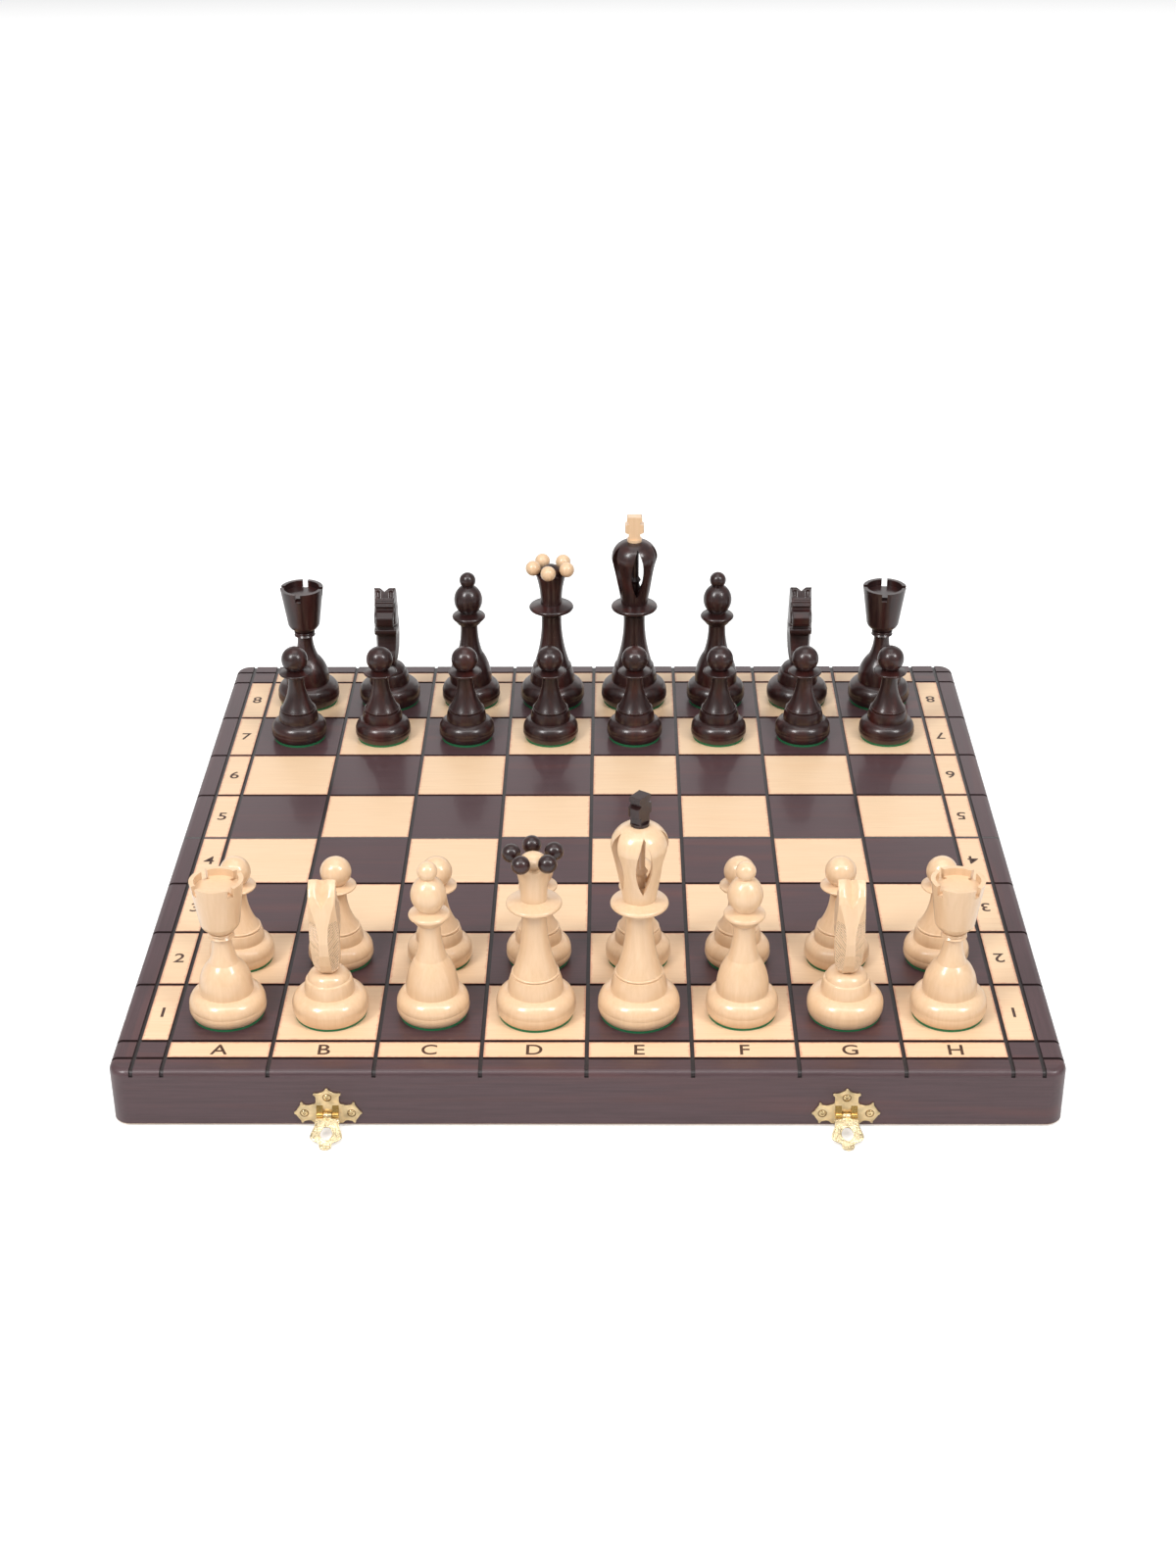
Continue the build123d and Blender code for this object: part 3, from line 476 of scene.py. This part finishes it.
def add_stamped(gathered, outlines, thickness, edge, place):
    """A flat sheet cut to closed outlines in millimetres; later ones are holes."""
    curve = bpy.data.curves.new("stamped", "CURVE")
    curve.dimensions = "2D"
    curve.fill_mode = "BOTH"
    curve.extrude = (thickness / 2 - edge) * MM
    curve.bevel_depth = edge * MM
    curve.bevel_resolution = 2
    curve.offset = -edge * MM
    for outline in outlines:
        spline = curve.splines.new("POLY")
        spline.points.add(len(outline) - 1)
        for point, (x, y) in zip(spline.points, outline):
            point.co = (x * MM, y * MM, 0, 1)
        spline.use_cyclic_u = True
    add_curve(gathered, curve, place)


def add_wire(gathered, outline, radius, place, closed=True):
    """A thin raised line along an outline of (x, y) in millimetres."""
    curve = bpy.data.curves.new("wire", "CURVE")
    curve.dimensions = "3D"
    curve.bevel_depth = radius * MM
    curve.bevel_resolution = 2
    spline = curve.splines.new("POLY")
    spline.points.add(len(outline) - 1)
    for point, (x, y) in zip(spline.points, outline):
        point.co = (x * MM, y * MM, 0, 1)
    spline.use_cyclic_u = closed
    add_curve(gathered, curve, place)


def add_curve(gathered, curve, place):
    """Adds a curve's surface to a bmesh and removes the curve."""
    holder = bpy.data.objects.new("curve", curve)
    bpy.context.collection.objects.link(holder)
    mesh = evaluated_mesh(holder)
    bpy.data.objects.remove(holder)
    mesh.transform(place)
    gathered.from_mesh(mesh)
    bpy.data.meshes.remove(mesh)


def circle(radius, x=0.0, y=0.0, sides=40):
    """A round outline."""
    return [
        (x + radius * math.cos(math.tau * i / sides), y + radius * math.sin(math.tau * i / sides))
        for i in range(sides)
    ]


def mirrored(half):
    """A closed outline from its right half, which runs from the top to the bottom."""
    return half + [(-x, y) for x, y in reversed(half) if abs(x) > 0.001]


def shrunk(outline, amount):
    """An outline moved inwards by an amount, corner by corner."""
    count = len(outline)
    area = sum(
        outline[i][0] * outline[(i + 1) % count][1] - outline[(i + 1) % count][0] * outline[i][1]
        for i in range(count)
    )
    side = 1 if area > 0 else -1
    moved = []
    for i in range(count):
        before, here, after = (Vector(outline[(i + k) % count]) for k in (-1, 0, 1))
        along = (after - before).normalized()
        moved.append(tuple(here + side * amount * Vector((-along.y, along.x))))
    return moved


# Clasps: stamped plates with three pointed lobes, slotted hasps and dimpled nails

plate_half = [
    (0.0, 13.0), (0.5, 12.8), (0.8, 12.1), (1.7, 11.3), (3.1, 10.6), (4.5, 10.3), (5.3, 10.5),
    (5.9, 10.3), (6.1, 9.8), (5.8, 9.3), (5.3, 8.9), (5.1, 8.2), (5.1, 6.2), (5.3, 5.3),
    (5.9, 4.7), (6.8, 4.5), (7.6, 4.1), (8.6, 4.0), (9.8, 4.2), (10.6, 4.5), (10.9, 5.2),
    (11.3, 5.7), (11.8, 5.6), (12.0, 5.1), (12.0, 4.3), (12.7, 3.2), (13.5, 2.0), (14.1, 1.0),
    (14.7, 0.6), (15.0, 0.3), (15.0, -0.3), (14.7, -0.6), (14.1, -1.0), (13.5, -2.0), (12.7, -3.2),
    (12.0, -4.3), (12.0, -5.0), (11.6, -5.3), (11.1, -5.1), (10.7, -4.4), (9.8, -4.1), (8.6, -3.9),
    (7.5, -4.1), (6.9, -4.7), (6.3, -5.3), (5.4, -5.4), (3.0, -5.4), (0.0, -5.4),
]
hasp_half = [
    (0.0, -1.3), (1.7, -1.3), (1.8, -1.8), (4.2, -2.0), (5.3, -2.4), (5.5, -3.4), (5.4, -4.6),
    (5.5, -5.8), (6.0, -7.2), (6.6, -8.8), (7.0, -10.2), (7.0, -11.2), (6.6, -12.0), (5.6, -12.7),
    (4.4, -13.3), (3.3, -13.7), (2.8, -14.3), (2.7, -15.4), (2.6, -16.2), (1.8, -16.8), (0.8, -17.3),
    (0.0, -17.4),
]
slot_half = [
    (0.0, -5.9), (1.0, -6.0), (1.6, -6.6), (2.2, -7.6), (2.6, -8.8), (2.6, -9.9), (2.2, -11.1),
    (1.4, -12.2), (0.6, -12.6), (0.0, -12.6),
]
nail_profile = [
    (0.0, -2.0), (0.6, -2.0), (0.6, 0.0), (1.5, 0.0), (1.5, 0.16), (1.3, 0.38), (0.9, 0.52),
    (0.6, 0.5), (0.42, 0.36), (0.2, 0.28), (0.0, 0.26),
]
plate_nails = ((-10.4, 0), (10.4, 0), (0, 8.3))
clasp_spread = 228.0 / 2
pin_rise = 6.5
pin_out = 2.5
plate_thick = 0.8
barrel_r = 1.4
barrel_bore = 0.65
ring_depth = 0.16
knuckle_spans = ((-4.95, -2.05), (2.05, 4.95))
hasp_knuckle = 3.7
lip_length = 4.6
lip_drop = 16.35
strap_foot = 4.2
hasp_thick = 0.9
hasp_angle = -65.451
wall_y = front_low[1]
pin_z = rim_z + pin_rise * MM
pin_y = wall_y - pin_out * MM


def wall_place(x, out, z):
    """Local X along the near wall, local Y up and local Z outwards."""
    axes = Matrix(((1, 0, 0, 0), (0, 0, -1, 0), (0, 1, 0, 0), (0, 0, 0, 1)))
    return Matrix.Translation((x * MM, wall_y - out * MM, z)) @ axes


def barrel_place(x):
    """Local Z along the clasp's pin, starting at x."""
    return Matrix.Translation((x * MM, pin_y, pin_z)) @ Matrix.Rotation(math.pi / 2, 4, "Y")


def barrel_profile(length, ring_pitch=0.0):
    """A knuckle with rounded ends, and fine rings where a pitch is given."""
    profile = [(barrel_bore, 0.0), (barrel_r - 0.2, 0.0), (barrel_r, 0.2)]
    if ring_pitch:
        count = int((length - 0.4) / ring_pitch)
        for i in range(count):
            z = 0.2 + ring_pitch * (i + 0.5)
            sunk = barrel_r - ring_depth
            profile += [(sunk, z - 0.1), (sunk, z + 0.1), (barrel_r, z + 0.3 * ring_pitch)]
    profile += [(barrel_r, length - 0.2), (barrel_r - 0.2, length), (barrel_bore, length)]
    return profile


def add_strap(gathered, x0, x1):
    """The strip that rises from the plate and rolls over to a knuckle."""
    thick = 0.45
    top = (plate_thick, strap_foot)
    under = (plate_thick, strap_foot - 2.2 * thick)
    outer = arc(top, (1.5, 2.9), (pin_out, barrel_r), 8)
    inner = arc(under, (1.4, 2.2), (pin_out, barrel_r - thick), 8)
    outline = [top] + outer + inner[::-1] + [under]
    ends = []
    for x in (x0, x1):
        spots = [(x * MM, wall_y - out * MM, pin_z + up * MM) for out, up in outline]
        ends.append([gathered.verts.new(spot) for spot in spots])
    gathered.faces.new(ends[0])
    gathered.faces.new(ends[1][::-1])
    for i in range(len(outline)):
        j = (i + 1) % len(outline)
        gathered.faces.new((ends[0][i], ends[0][j], ends[1][j], ends[1][i]))


def clasp_plates():
    """Both plates, their darker knuckles and straps, and the chased lines and rings."""
    sheets = bmesh.new()
    knuckles = bmesh.new()
    chasing = bmesh.new()
    outline = mirrored(plate_half)
    for x in (-clasp_spread, clasp_spread):
        add_stamped(sheets, [outline], plate_thick, 0.16, wall_place(x, plate_thick / 2, pin_z))
        face = wall_place(x, plate_thick, pin_z)
        add_wire(sheets, shrunk(outline, 0.55), 0.14, face)
        for nx, nz in plate_nails:
            add_wire(chasing, circle(1.8, nx, nz), 0.19, face)
            add_wire(chasing, circle(0.45, nx, nz), 0.16, wall_place(x, plate_thick + 0.36, pin_z))
        for x0, x1 in knuckle_spans:
            add_lathe(knuckles, barrel_profile(x1 - x0), barrel_place(x + x0), 32)
            add_strap(knuckles, x + x0, x + x1)
    sheet = new_piece("clasp_sheets", sheets, stamped_brass, "near_half")
    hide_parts("clasp_plates")
    new_piece("clasp_knuckles", knuckles, amber_brass, "near_half")
    # The nail rings carry the dark brass as painted shade
    new_piece("clasp_chasing", chasing, ring_shade_brass, "near_half")


def hasp(name, x):
    """One slotted hasp with a pressed border, a ringed knuckle and a curled lip."""
    gathered = bmesh.new()
    outline = mirrored(hasp_half)
    hole = mirrored(slot_half)
    place = wall_place(x, pin_out, pin_z)
    add_stamped(gathered, [outline, hole], hasp_thick, 0.14, place)
    face = wall_place(x, pin_out + hasp_thick / 2, pin_z)
    add_wire(gathered, shrunk(outline, 0.65), 0.17, face)
    add_wire(gathered, shrunk(hole, -0.75), 0.17, face)
    for side in (-1, 1):
        bow = arc((side * 4.7, -4.0), (side * 4.0, -8.0), (side * 5.0, -11.6), 10)
        add_wire(gathered, bow, 0.15, face, closed=False)
    lip = wall_place(x - lip_length / 2, pin_out + 0.35, pin_z - lip_drop * MM)
    roll = [(0.0, 0.0), (0.45, 0.0), (0.75, 0.3)]
    roll += [(0.75, lip_length - 0.3), (0.45, lip_length), (0.0, lip_length)]
    add_lathe(gathered, roll, lip @ Matrix.Rotation(math.pi / 2, 4, "Y"), 20)
    knuckle = barrel_profile(hasp_knuckle, 0.55)
    add_lathe(gathered, knuckle, barrel_place(x - hasp_knuckle / 2), 32)
    about = Matrix.Translation((0, pin_y, pin_z))
    lean = about @ Matrix.Rotation(math.radians(hasp_angle), 4, "X") @ about.inverted()
    piece = new_piece(f"{name}_finish", gathered, relief_brass, name, turn=lean)
    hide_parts(name)


def nails(name, node, body, places):
    """Round nail heads with a small dimple. A place is a matrix with local Z out of the wall."""
    gathered = bmesh.new()
    for place in places:
        add_lathe(gathered, nail_profile, place, 28)
    piece = new_piece(name, gathered, bright_brass, body)
    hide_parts(node)


def all_nails():
    """The nails of the clasps and, half a turn away, those of the keepers."""
    near = []
    far = []
    turn = Matrix.Translation((0, board_middle_y, 0)) @ Matrix.Rotation(math.pi, 4, "Z")
    turn = turn @ Matrix.Translation((0, -board_middle_y, 0))
    keeper_z = rim_z + (0.4 + 8.4 / 2) * MM
    for x in (-clasp_spread, clasp_spread):
        for nx, nz in plate_nails:
            near.append(wall_place(x + nx, plate_thick, pin_z + nz * MM))
        for nx in (-9.0, 9.0):
            far.append(turn @ wall_place(x + nx, plate_thick, keeper_z))
    nails("clasp_nail_heads", "clasp_nails", "near_half", near)
    nails("keeper_nail_heads", "keeper_nails", "far_half", far)


# Knights: a head carved from a slab, on a turned foot

knight_back = [
    (23.9, -4.6), (26.0, -6.6), (30.0, -8.6), (36.0, -10.0), (42.0, -10.3), (50.0, -9.4), (57.0, -8.2),
    (61.0, -7.3), (64.0, -5.9), (66.5, -3.6), (68.3, -1.4), (69.3, 0.2),
]
knight_front = [
    (23.9, 4.6), (25.4, 7.0), (27.4, 7.7), (29.8, 7.3), (33.0, 5.4), (37.0, 3.9), (41.0, 3.1),
    (42.6, 3.5), (43.4, 6.2), (44.2, 7.9), (45.4, 8.6), (46.8, 8.5), (47.8, 7.5), (48.6, 7.3),
    (49.4, 8.9), (50.4, 10.7), (51.6, 11.0), (54.6, 11.2), (55.5, 11.0), (56.6, 9.4), (57.8, 7.7),
    (58.0, 6.4), (59.3, 5.9), (60.2, 6.1), (60.5, 7.2), (62.4, 6.1), (64.2, 5.0), (64.5, 4.4),
    (66.4, 3.2), (68.2, 2.0), (69.3, 0.8),
]
knight_width = [
    (23.9, 3.9), (25.0, 4.7), (27.0, 5.5), (31.0, 6.1), (38.0, 6.5), (46.0, 6.6), (55.0, 6.2),
    (62.0, 5.95), (67.0, 6.1), (69.3, 6.05),
]
knight_spine = [
    (23.9, 2.4), (30.0, 2.5), (44.0, 2.0), (50.0, 2.5), (56.0, 3.9), (61.0, 5.4), (69.3, 5.75),
]
knight_muzzle = [
    (23.9, 0.8), (30.0, 1.6), (42.6, 1.2), (43.4, 0.5), (47.4, 0.5), (48.6, 1.9), (51.0, 1.7),
    (55.5, 1.5), (58.0, 1.0), (64.0, 0.6), (69.3, 0.9),
]


knight_bottom = 24.05
knight_top = 69.3
knight_levels = 162
crown_steps = 24
spine_steps = 6
bevel_steps = 18
side_steps = 16
cheek_steps = 14
front_steps = 12
front_corner = 0.6
off_mane = 99.0
mane_low = 26.0
mane_high = 53.0
mane_pitch = 1.5
mane_slant = 0.8
mane_depth = 0.7
eye = (4.4, 60.4)
nostril = (9.3, 53.4)
jaw = (2.0, 53.0)
mouth_z = 51.6
forelock_ridges = (60.4, 64.2)
forelock_hollows = (64.4, 68.4)


def along(table, at):
    """Reads a table of (place, value) by straight lines between its rows."""
    for (a, va), (b, vb) in zip(table, table[1:]):
        if at <= b:
            return va + (vb - va) * max(0.0, at - a) / (b - a)
    return table[-1][1]


def bump_at(value, middle, reach):
    """A smooth hill of height 1, gone at the given distance from its middle."""
    away = abs(value - middle) / reach
    return 0.0 if away >= 1 else 0.5 + 0.5 * math.cos(math.pi * away)


def mane_wave(z, from_spine):
    """0 at the bottom of a mane cut and 1 on the ridge between two cuts."""
    return abs(2 * (((z - mane_slant * from_spine) / mane_pitch) % 1.0) - 1)


def in_mane_cut(z, from_spine):
    """Whether a point of the back lies deep in a mane cut, where painted shade goes."""
    on_mane = mane_low + 0.5 < z < mane_high - 1 and 0.3 < from_spine < off_mane - 9
    return on_mane and mane_wave(z, from_spine) < 0.42


def gouge(x, y):
    """Height of the slanting hollow cut between the ears, in millimetres."""
    return 66.9 + 0.93 * (y - 1.0) + 1.2 * abs(x)


def knight_section(z):
    """One level of the head as points (x, y) going round from the middle of the back."""
    back = along(knight_back, z)
    front = along(knight_front, z)
    wide = along(knight_width, z)
    spine = min(along(knight_spine, z), wide - 0.3)
    bevel = 0.9 * (wide - spine)
    narrow = wide - along(knight_muzzle, z)
    bevel = min(bevel, 0.45 * (front - back))
    shoulder = max(back + bevel, front - 5.5)
    right = []
    for i in range(spine_steps + 1):
        right.append((spine * i / spine_steps, back, 0.0))
    for i in range(1, bevel_steps + 1):
        t = i / bevel_steps
        reach = t * math.hypot(wide - spine, bevel)
        right.append((spine + (wide - spine) * t, back + bevel * t, reach))
    stop = max(shoulder, back + bevel)
    run = stop - back - bevel
    for i in range(1, side_steps + 1):
        right.append((wide, back + bevel + run * i / side_steps, off_mane))
    for i in range(1, cheek_steps + 1):
        t = i / cheek_steps
        y = stop + (front - front_corner * 0.6 - stop) * t
        right.append((wide + (narrow - wide) * t, y, off_mane))
    right.append((narrow - 0.2, front - 0.12, off_mane))
    for i in range(front_steps + 1):
        t = 1 - i / front_steps
        right.append(((narrow - front_corner) * t, front, off_mane))
    return right


def carve(x, y, z, from_spine):
    """Moves one point of the right half of the head: mane cuts, ridges, ears, eye and mouth."""
    if mane_low < z < mane_high and 0.15 < from_spine < off_mane - 9:
        depth = mane_depth * (1 - mane_wave(z, from_spine)) * min(1.0, from_spine / 0.5)
        depth *= min(1.0, (mane_high - z) / 3)
        x -= 0.7 * depth
        y += 0.7 * depth
    front = along(knight_front, z)
    on_front = y > front - 0.3
    if on_front and forelock_ridges[0] < z < forelock_ridges[1]:
        y += 0.22 * math.cos(math.tau * (z - 60.9) / 0.95)
    low, high = forelock_hollows
    if on_front and low < z < high:
        y -= 1.1 * bump_at(x, 3.6, 1.5) * min(1.0, (z - low) / 0.8, (high - z) / 0.9)
    side = 1.0 if from_spine > off_mane - 9 and not on_front else 0.0
    ring = math.hypot(y - eye[0], z - eye[1])
    x += side * (0.35 * bump_at(ring, 0.0, 0.9) - 0.45 * bump_at(ring, 1.25, 0.5))
    x -= side * 0.6 * bump_at(math.hypot(y - nostril[0], z - nostril[1]), 0.0, 0.9)
    if 7.6 < y < 12:
        x -= side * 0.45 * bump_at(z, mouth_z, 0.55)
    from_jaw = math.hypot(y - jaw[0], z - jaw[1])
    x -= side * 0.45 * bump_at(from_jaw, 6.4, 0.8) * (1.0 if y > -3.5 and z < 57.5 else 0.0)
    return x, y, min(z, gouge(x, y))


def knight(node, turn, material, cut_shade_material):
    """One knight: turned foot, felt, and the carved head on a short peg, with painted shade in its
    mane cuts.
    """
    low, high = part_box(node)
    centre = Matrix.Translation(((low[0] + high[0]) / 2, (low[1] + high[1]) / 2, board_top))
    place = centre @ Matrix.Rotation(turn, 4, "Z")
    gathered = bmesh.new()
    foot = [(0.0, 0.0), (15.9, 0.0), (16.1, 0.15), (16.1, 1.15), (16.25, 1.3)]
    foot += arc((16.25, 1.3), (16.95, 3.1), (17.2, 6.0), 8)
    foot += arc((17.2, 6.0), (15.5, 10.7), (11.4, 12.6), 14)
    foot += arc((11.4, 12.6), (11.05, 15.8), (10.3, 18.8), 6)
    foot += [(10.1, 19.05), (9.5, 19.3)]
    foot += arc((9.5, 19.3), (8.2, 22.0), (5.0, 23.5), 10)
    foot += [(3.0, 23.75), (2.2, 23.9), (2.1, 24.2), (2.1, 25.5), (0.0, 25.5)]
    add_lathe(gathered, foot, place, 112)
    rings = []
    for k in range(knight_levels + 1):
        z = knight_bottom + (knight_top - knight_bottom) * k / knight_levels
        right = [carve(x, y, z, q) for x, y, q in knight_section(z)]
        left = [(-x, y, zz) for x, y, zz in reversed(right[1:-1])]
        ring = [place @ Vector((x * MM, y * MM, zz * MM)) for x, y, zz in right + left]
        rings.append([gathered.verts.new(v) for v in ring])
    count = len(rings[0])
    for k, (low_ring, high_ring) in enumerate(zip(rings, rings[1:])):
        z = knight_bottom + (knight_top - knight_bottom) * (k + 0.5) / knight_levels
        reaches = [q for _, _, q in knight_section(z)]
        reaches += reaches[1:-1][::-1]
        for i in range(count):
            j = (i + 1) % count
            face = gathered.faces.new((low_ring[i], low_ring[j], high_ring[j], high_ring[i]))
            # Faces deep in a mane cut take the second, darker material: painted shade
            if in_mane_cut(z, max(reaches[i], reaches[j]) - 0.05):
                face.material_index = 1
    half = count // 2
    ring = rings[0]
    for i in range(half):
        corners = (ring[i], ring[i + 1], ring[(count - i - 1) % count], ring[(count - i) % count])
        distinct = list(dict.fromkeys(corners))
        if len(distinct) > 2:
            gathered.faces.new(distinct)
    crown = []
    for x, y, q in knight_section(knight_top):
        x, y, _ = carve(x, y, knight_top, q)
        if crown and abs(y - crown[-1][0]) < 0.001:
            continue
        row = []
        for k in range(crown_steps + 1):
            across = x * (1 - 2 * k / crown_steps)
            height = min(knight_top, gouge(across, y))
            row.append(gathered.verts.new(place @ Vector((across * MM, y * MM, height * MM))))
        crown.append((y, row))
    for (_, behind), (_, ahead) in zip(crown, crown[1:]):
        for k in range(crown_steps):
            gathered.faces.new((behind[k], behind[k + 1], ahead[k + 1], ahead[k]))
    piece = new_piece(f"{node}_carved", gathered, material, node, 40)
    piece.data.materials.append(cut_shade_material)
    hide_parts(node)


# Stage


def ray_factor(tree, extra):
    """A factor that is 1 for camera rays and for the kinds of ray named."""
    path = tree.nodes.new("ShaderNodeLightPath")
    total = path.outputs["Is Camera Ray"]
    for name in extra:
        add = tree.nodes.new("ShaderNodeMath")
        add.operation = "MAXIMUM"
        tree.links.new(total, add.inputs[0])
        tree.links.new(path.outputs[name], add.inputs[1])
        total = add.outputs[0]
    return total


def floor():
    """A plain white floor that keeps a soft contact shadow and can be seen through from below."""
    size = 6.0
    bpy.ops.mesh.primitive_plane_add(size=size, location=(0, 0, 0))
    piece = bpy.context.object
    piece.name = "floor"
    material = bpy.data.materials.new("floor_white")
    material.use_nodes = True
    tree = material.node_tree
    tree.nodes.clear()
    out = tree.nodes.new("ShaderNodeOutputMaterial")
    diffuse = tree.nodes.new("ShaderNodeBsdfDiffuse")
    diffuse.inputs[0].default_value = (0.8, 0.8, 0.8, 1)
    glow = tree.nodes.new("ShaderNodeEmission")
    glow.inputs[0].default_value = (1, 1, 1, 1)
    share = tree.nodes.new("ShaderNodeMath")
    share.operation = "MULTIPLY"
    share.inputs[1].default_value = 0.42
    tree.links.new(ray_factor(tree, ("Is Transmission Ray",)), share.inputs[0])
    tree.links.new(share.outputs[0], glow.inputs[1])
    add = tree.nodes.new("ShaderNodeAddShader")
    tree.links.new(diffuse.outputs[0], add.inputs[0])
    tree.links.new(glow.outputs[0], add.inputs[1])
    clear = tree.nodes.new("ShaderNodeBsdfTransparent")
    geometry = tree.nodes.new("ShaderNodeNewGeometry")
    either = tree.nodes.new("ShaderNodeMixShader")
    tree.links.new(geometry.outputs["Backfacing"], either.inputs[0])
    tree.links.new(add.outputs[0], either.inputs[1])
    tree.links.new(clear.outputs[0], either.inputs[2])
    tree.links.new(either.outputs[0], out.inputs[0])
    piece.data.materials.append(material)


def world():
    """Soft room light, seen as plain white."""
    sky = bpy.data.worlds.new("studio")
    bpy.context.scene.world = sky
    sky.use_nodes = True
    tree = sky.node_tree
    background = tree.nodes["Background"]
    background.inputs[0].default_value = (1, 1, 1, 1)
    room_light = 0.45
    level = tree.nodes.new("ShaderNodeMapRange")
    level.inputs[3].default_value = room_light
    level.inputs[4].default_value = 1.0
    tree.links.new(ray_factor(tree, ("Is Transmission Ray",)), level.inputs[0])
    tree.links.new(level.outputs[0], background.inputs[1])


def lamp(name, place, aim, width, height, watts):
    """A soft box."""
    light = bpy.data.lights.new(name, "AREA")
    light.shape = "RECTANGLE"
    light.size = width
    light.size_y = height
    light.energy = watts
    holder = bpy.data.objects.new(name, light)
    bpy.context.collection.objects.link(holder)
    holder.location = place
    holder.rotation_euler = (Vector(aim) - Vector(place)).to_track_quat("-Z", "Y").to_euler()


def camera():
    """The photograph's camera, from its fitted elevation, yaw, roll and focal length."""
    elevation = math.radians(camera_elevation)
    yaw = math.radians(camera_yaw)
    roll = math.radians(camera_roll)
    back = Vector((
        math.sin(yaw) * math.cos(elevation),
        -math.cos(yaw) * math.cos(elevation),
        math.sin(elevation),
    ))
    right = Vector((math.cos(yaw), math.sin(yaw), 0))
    up = back.cross(right)
    turned_right = math.cos(roll) * right - math.sin(roll) * up
    turned_up = math.sin(roll) * right + math.cos(roll) * up
    aim = Vector((0, board_middle_y + camera_aim_y, board_top))
    data = bpy.data.cameras.new("photo_camera")
    data.sensor_width = sensor
    data.lens = focal_pixels * sensor / photo_height
    data.shift_x = (photo_width / 2 - optical_axis_pixel[0]) / photo_height
    data.shift_y = (optical_axis_pixel[1] - photo_height / 2) / photo_height
    data.clip_end = 50
    holder = bpy.data.objects.new("photo_camera", data)
    bpy.context.collection.objects.link(holder)
    axes = Matrix((turned_right, turned_up, back)).transposed().to_4x4()
    holder.matrix_world = Matrix.Translation(aim + back * camera_distance) @ axes
    bpy.context.scene.camera = holder


finish_cad()
border_letters("near_half", -1)
border_letters("far_half", 1)
clasp_plates()
hasp("left_hasp", -clasp_spread)
hasp("right_hasp", clasp_spread)
all_nails()
for letter in "bg":
    knight(f"white_knight_{letter}", 0, pale_felted, pale_cut_shade)
    knight(f"black_knight_{letter}", math.pi, dark_felted, dark_cut_shade)
floor()
world()
middle = (0, board_middle_y, board_top)
lamp("left_softbox", (-1.0, -1.0, 1.35), middle, 0.5, 0.6, 18)
lamp("right_softbox", (1.1, -0.9, 1.3), middle, 0.45, 0.55, 12)
lamp("front_strip", (0, -0.85, 1.7), middle, 2.2, 0.5, 13)
lamp("top_softbox", (0, 0.2, 2.0), middle, 1.2, 1.2, 6)
lamp("back_panel", (0, 2.4, 0.8), middle, 3.4, 1.0, 9)
camera()
bpy.context.scene.view_settings.view_transform = "Standard"
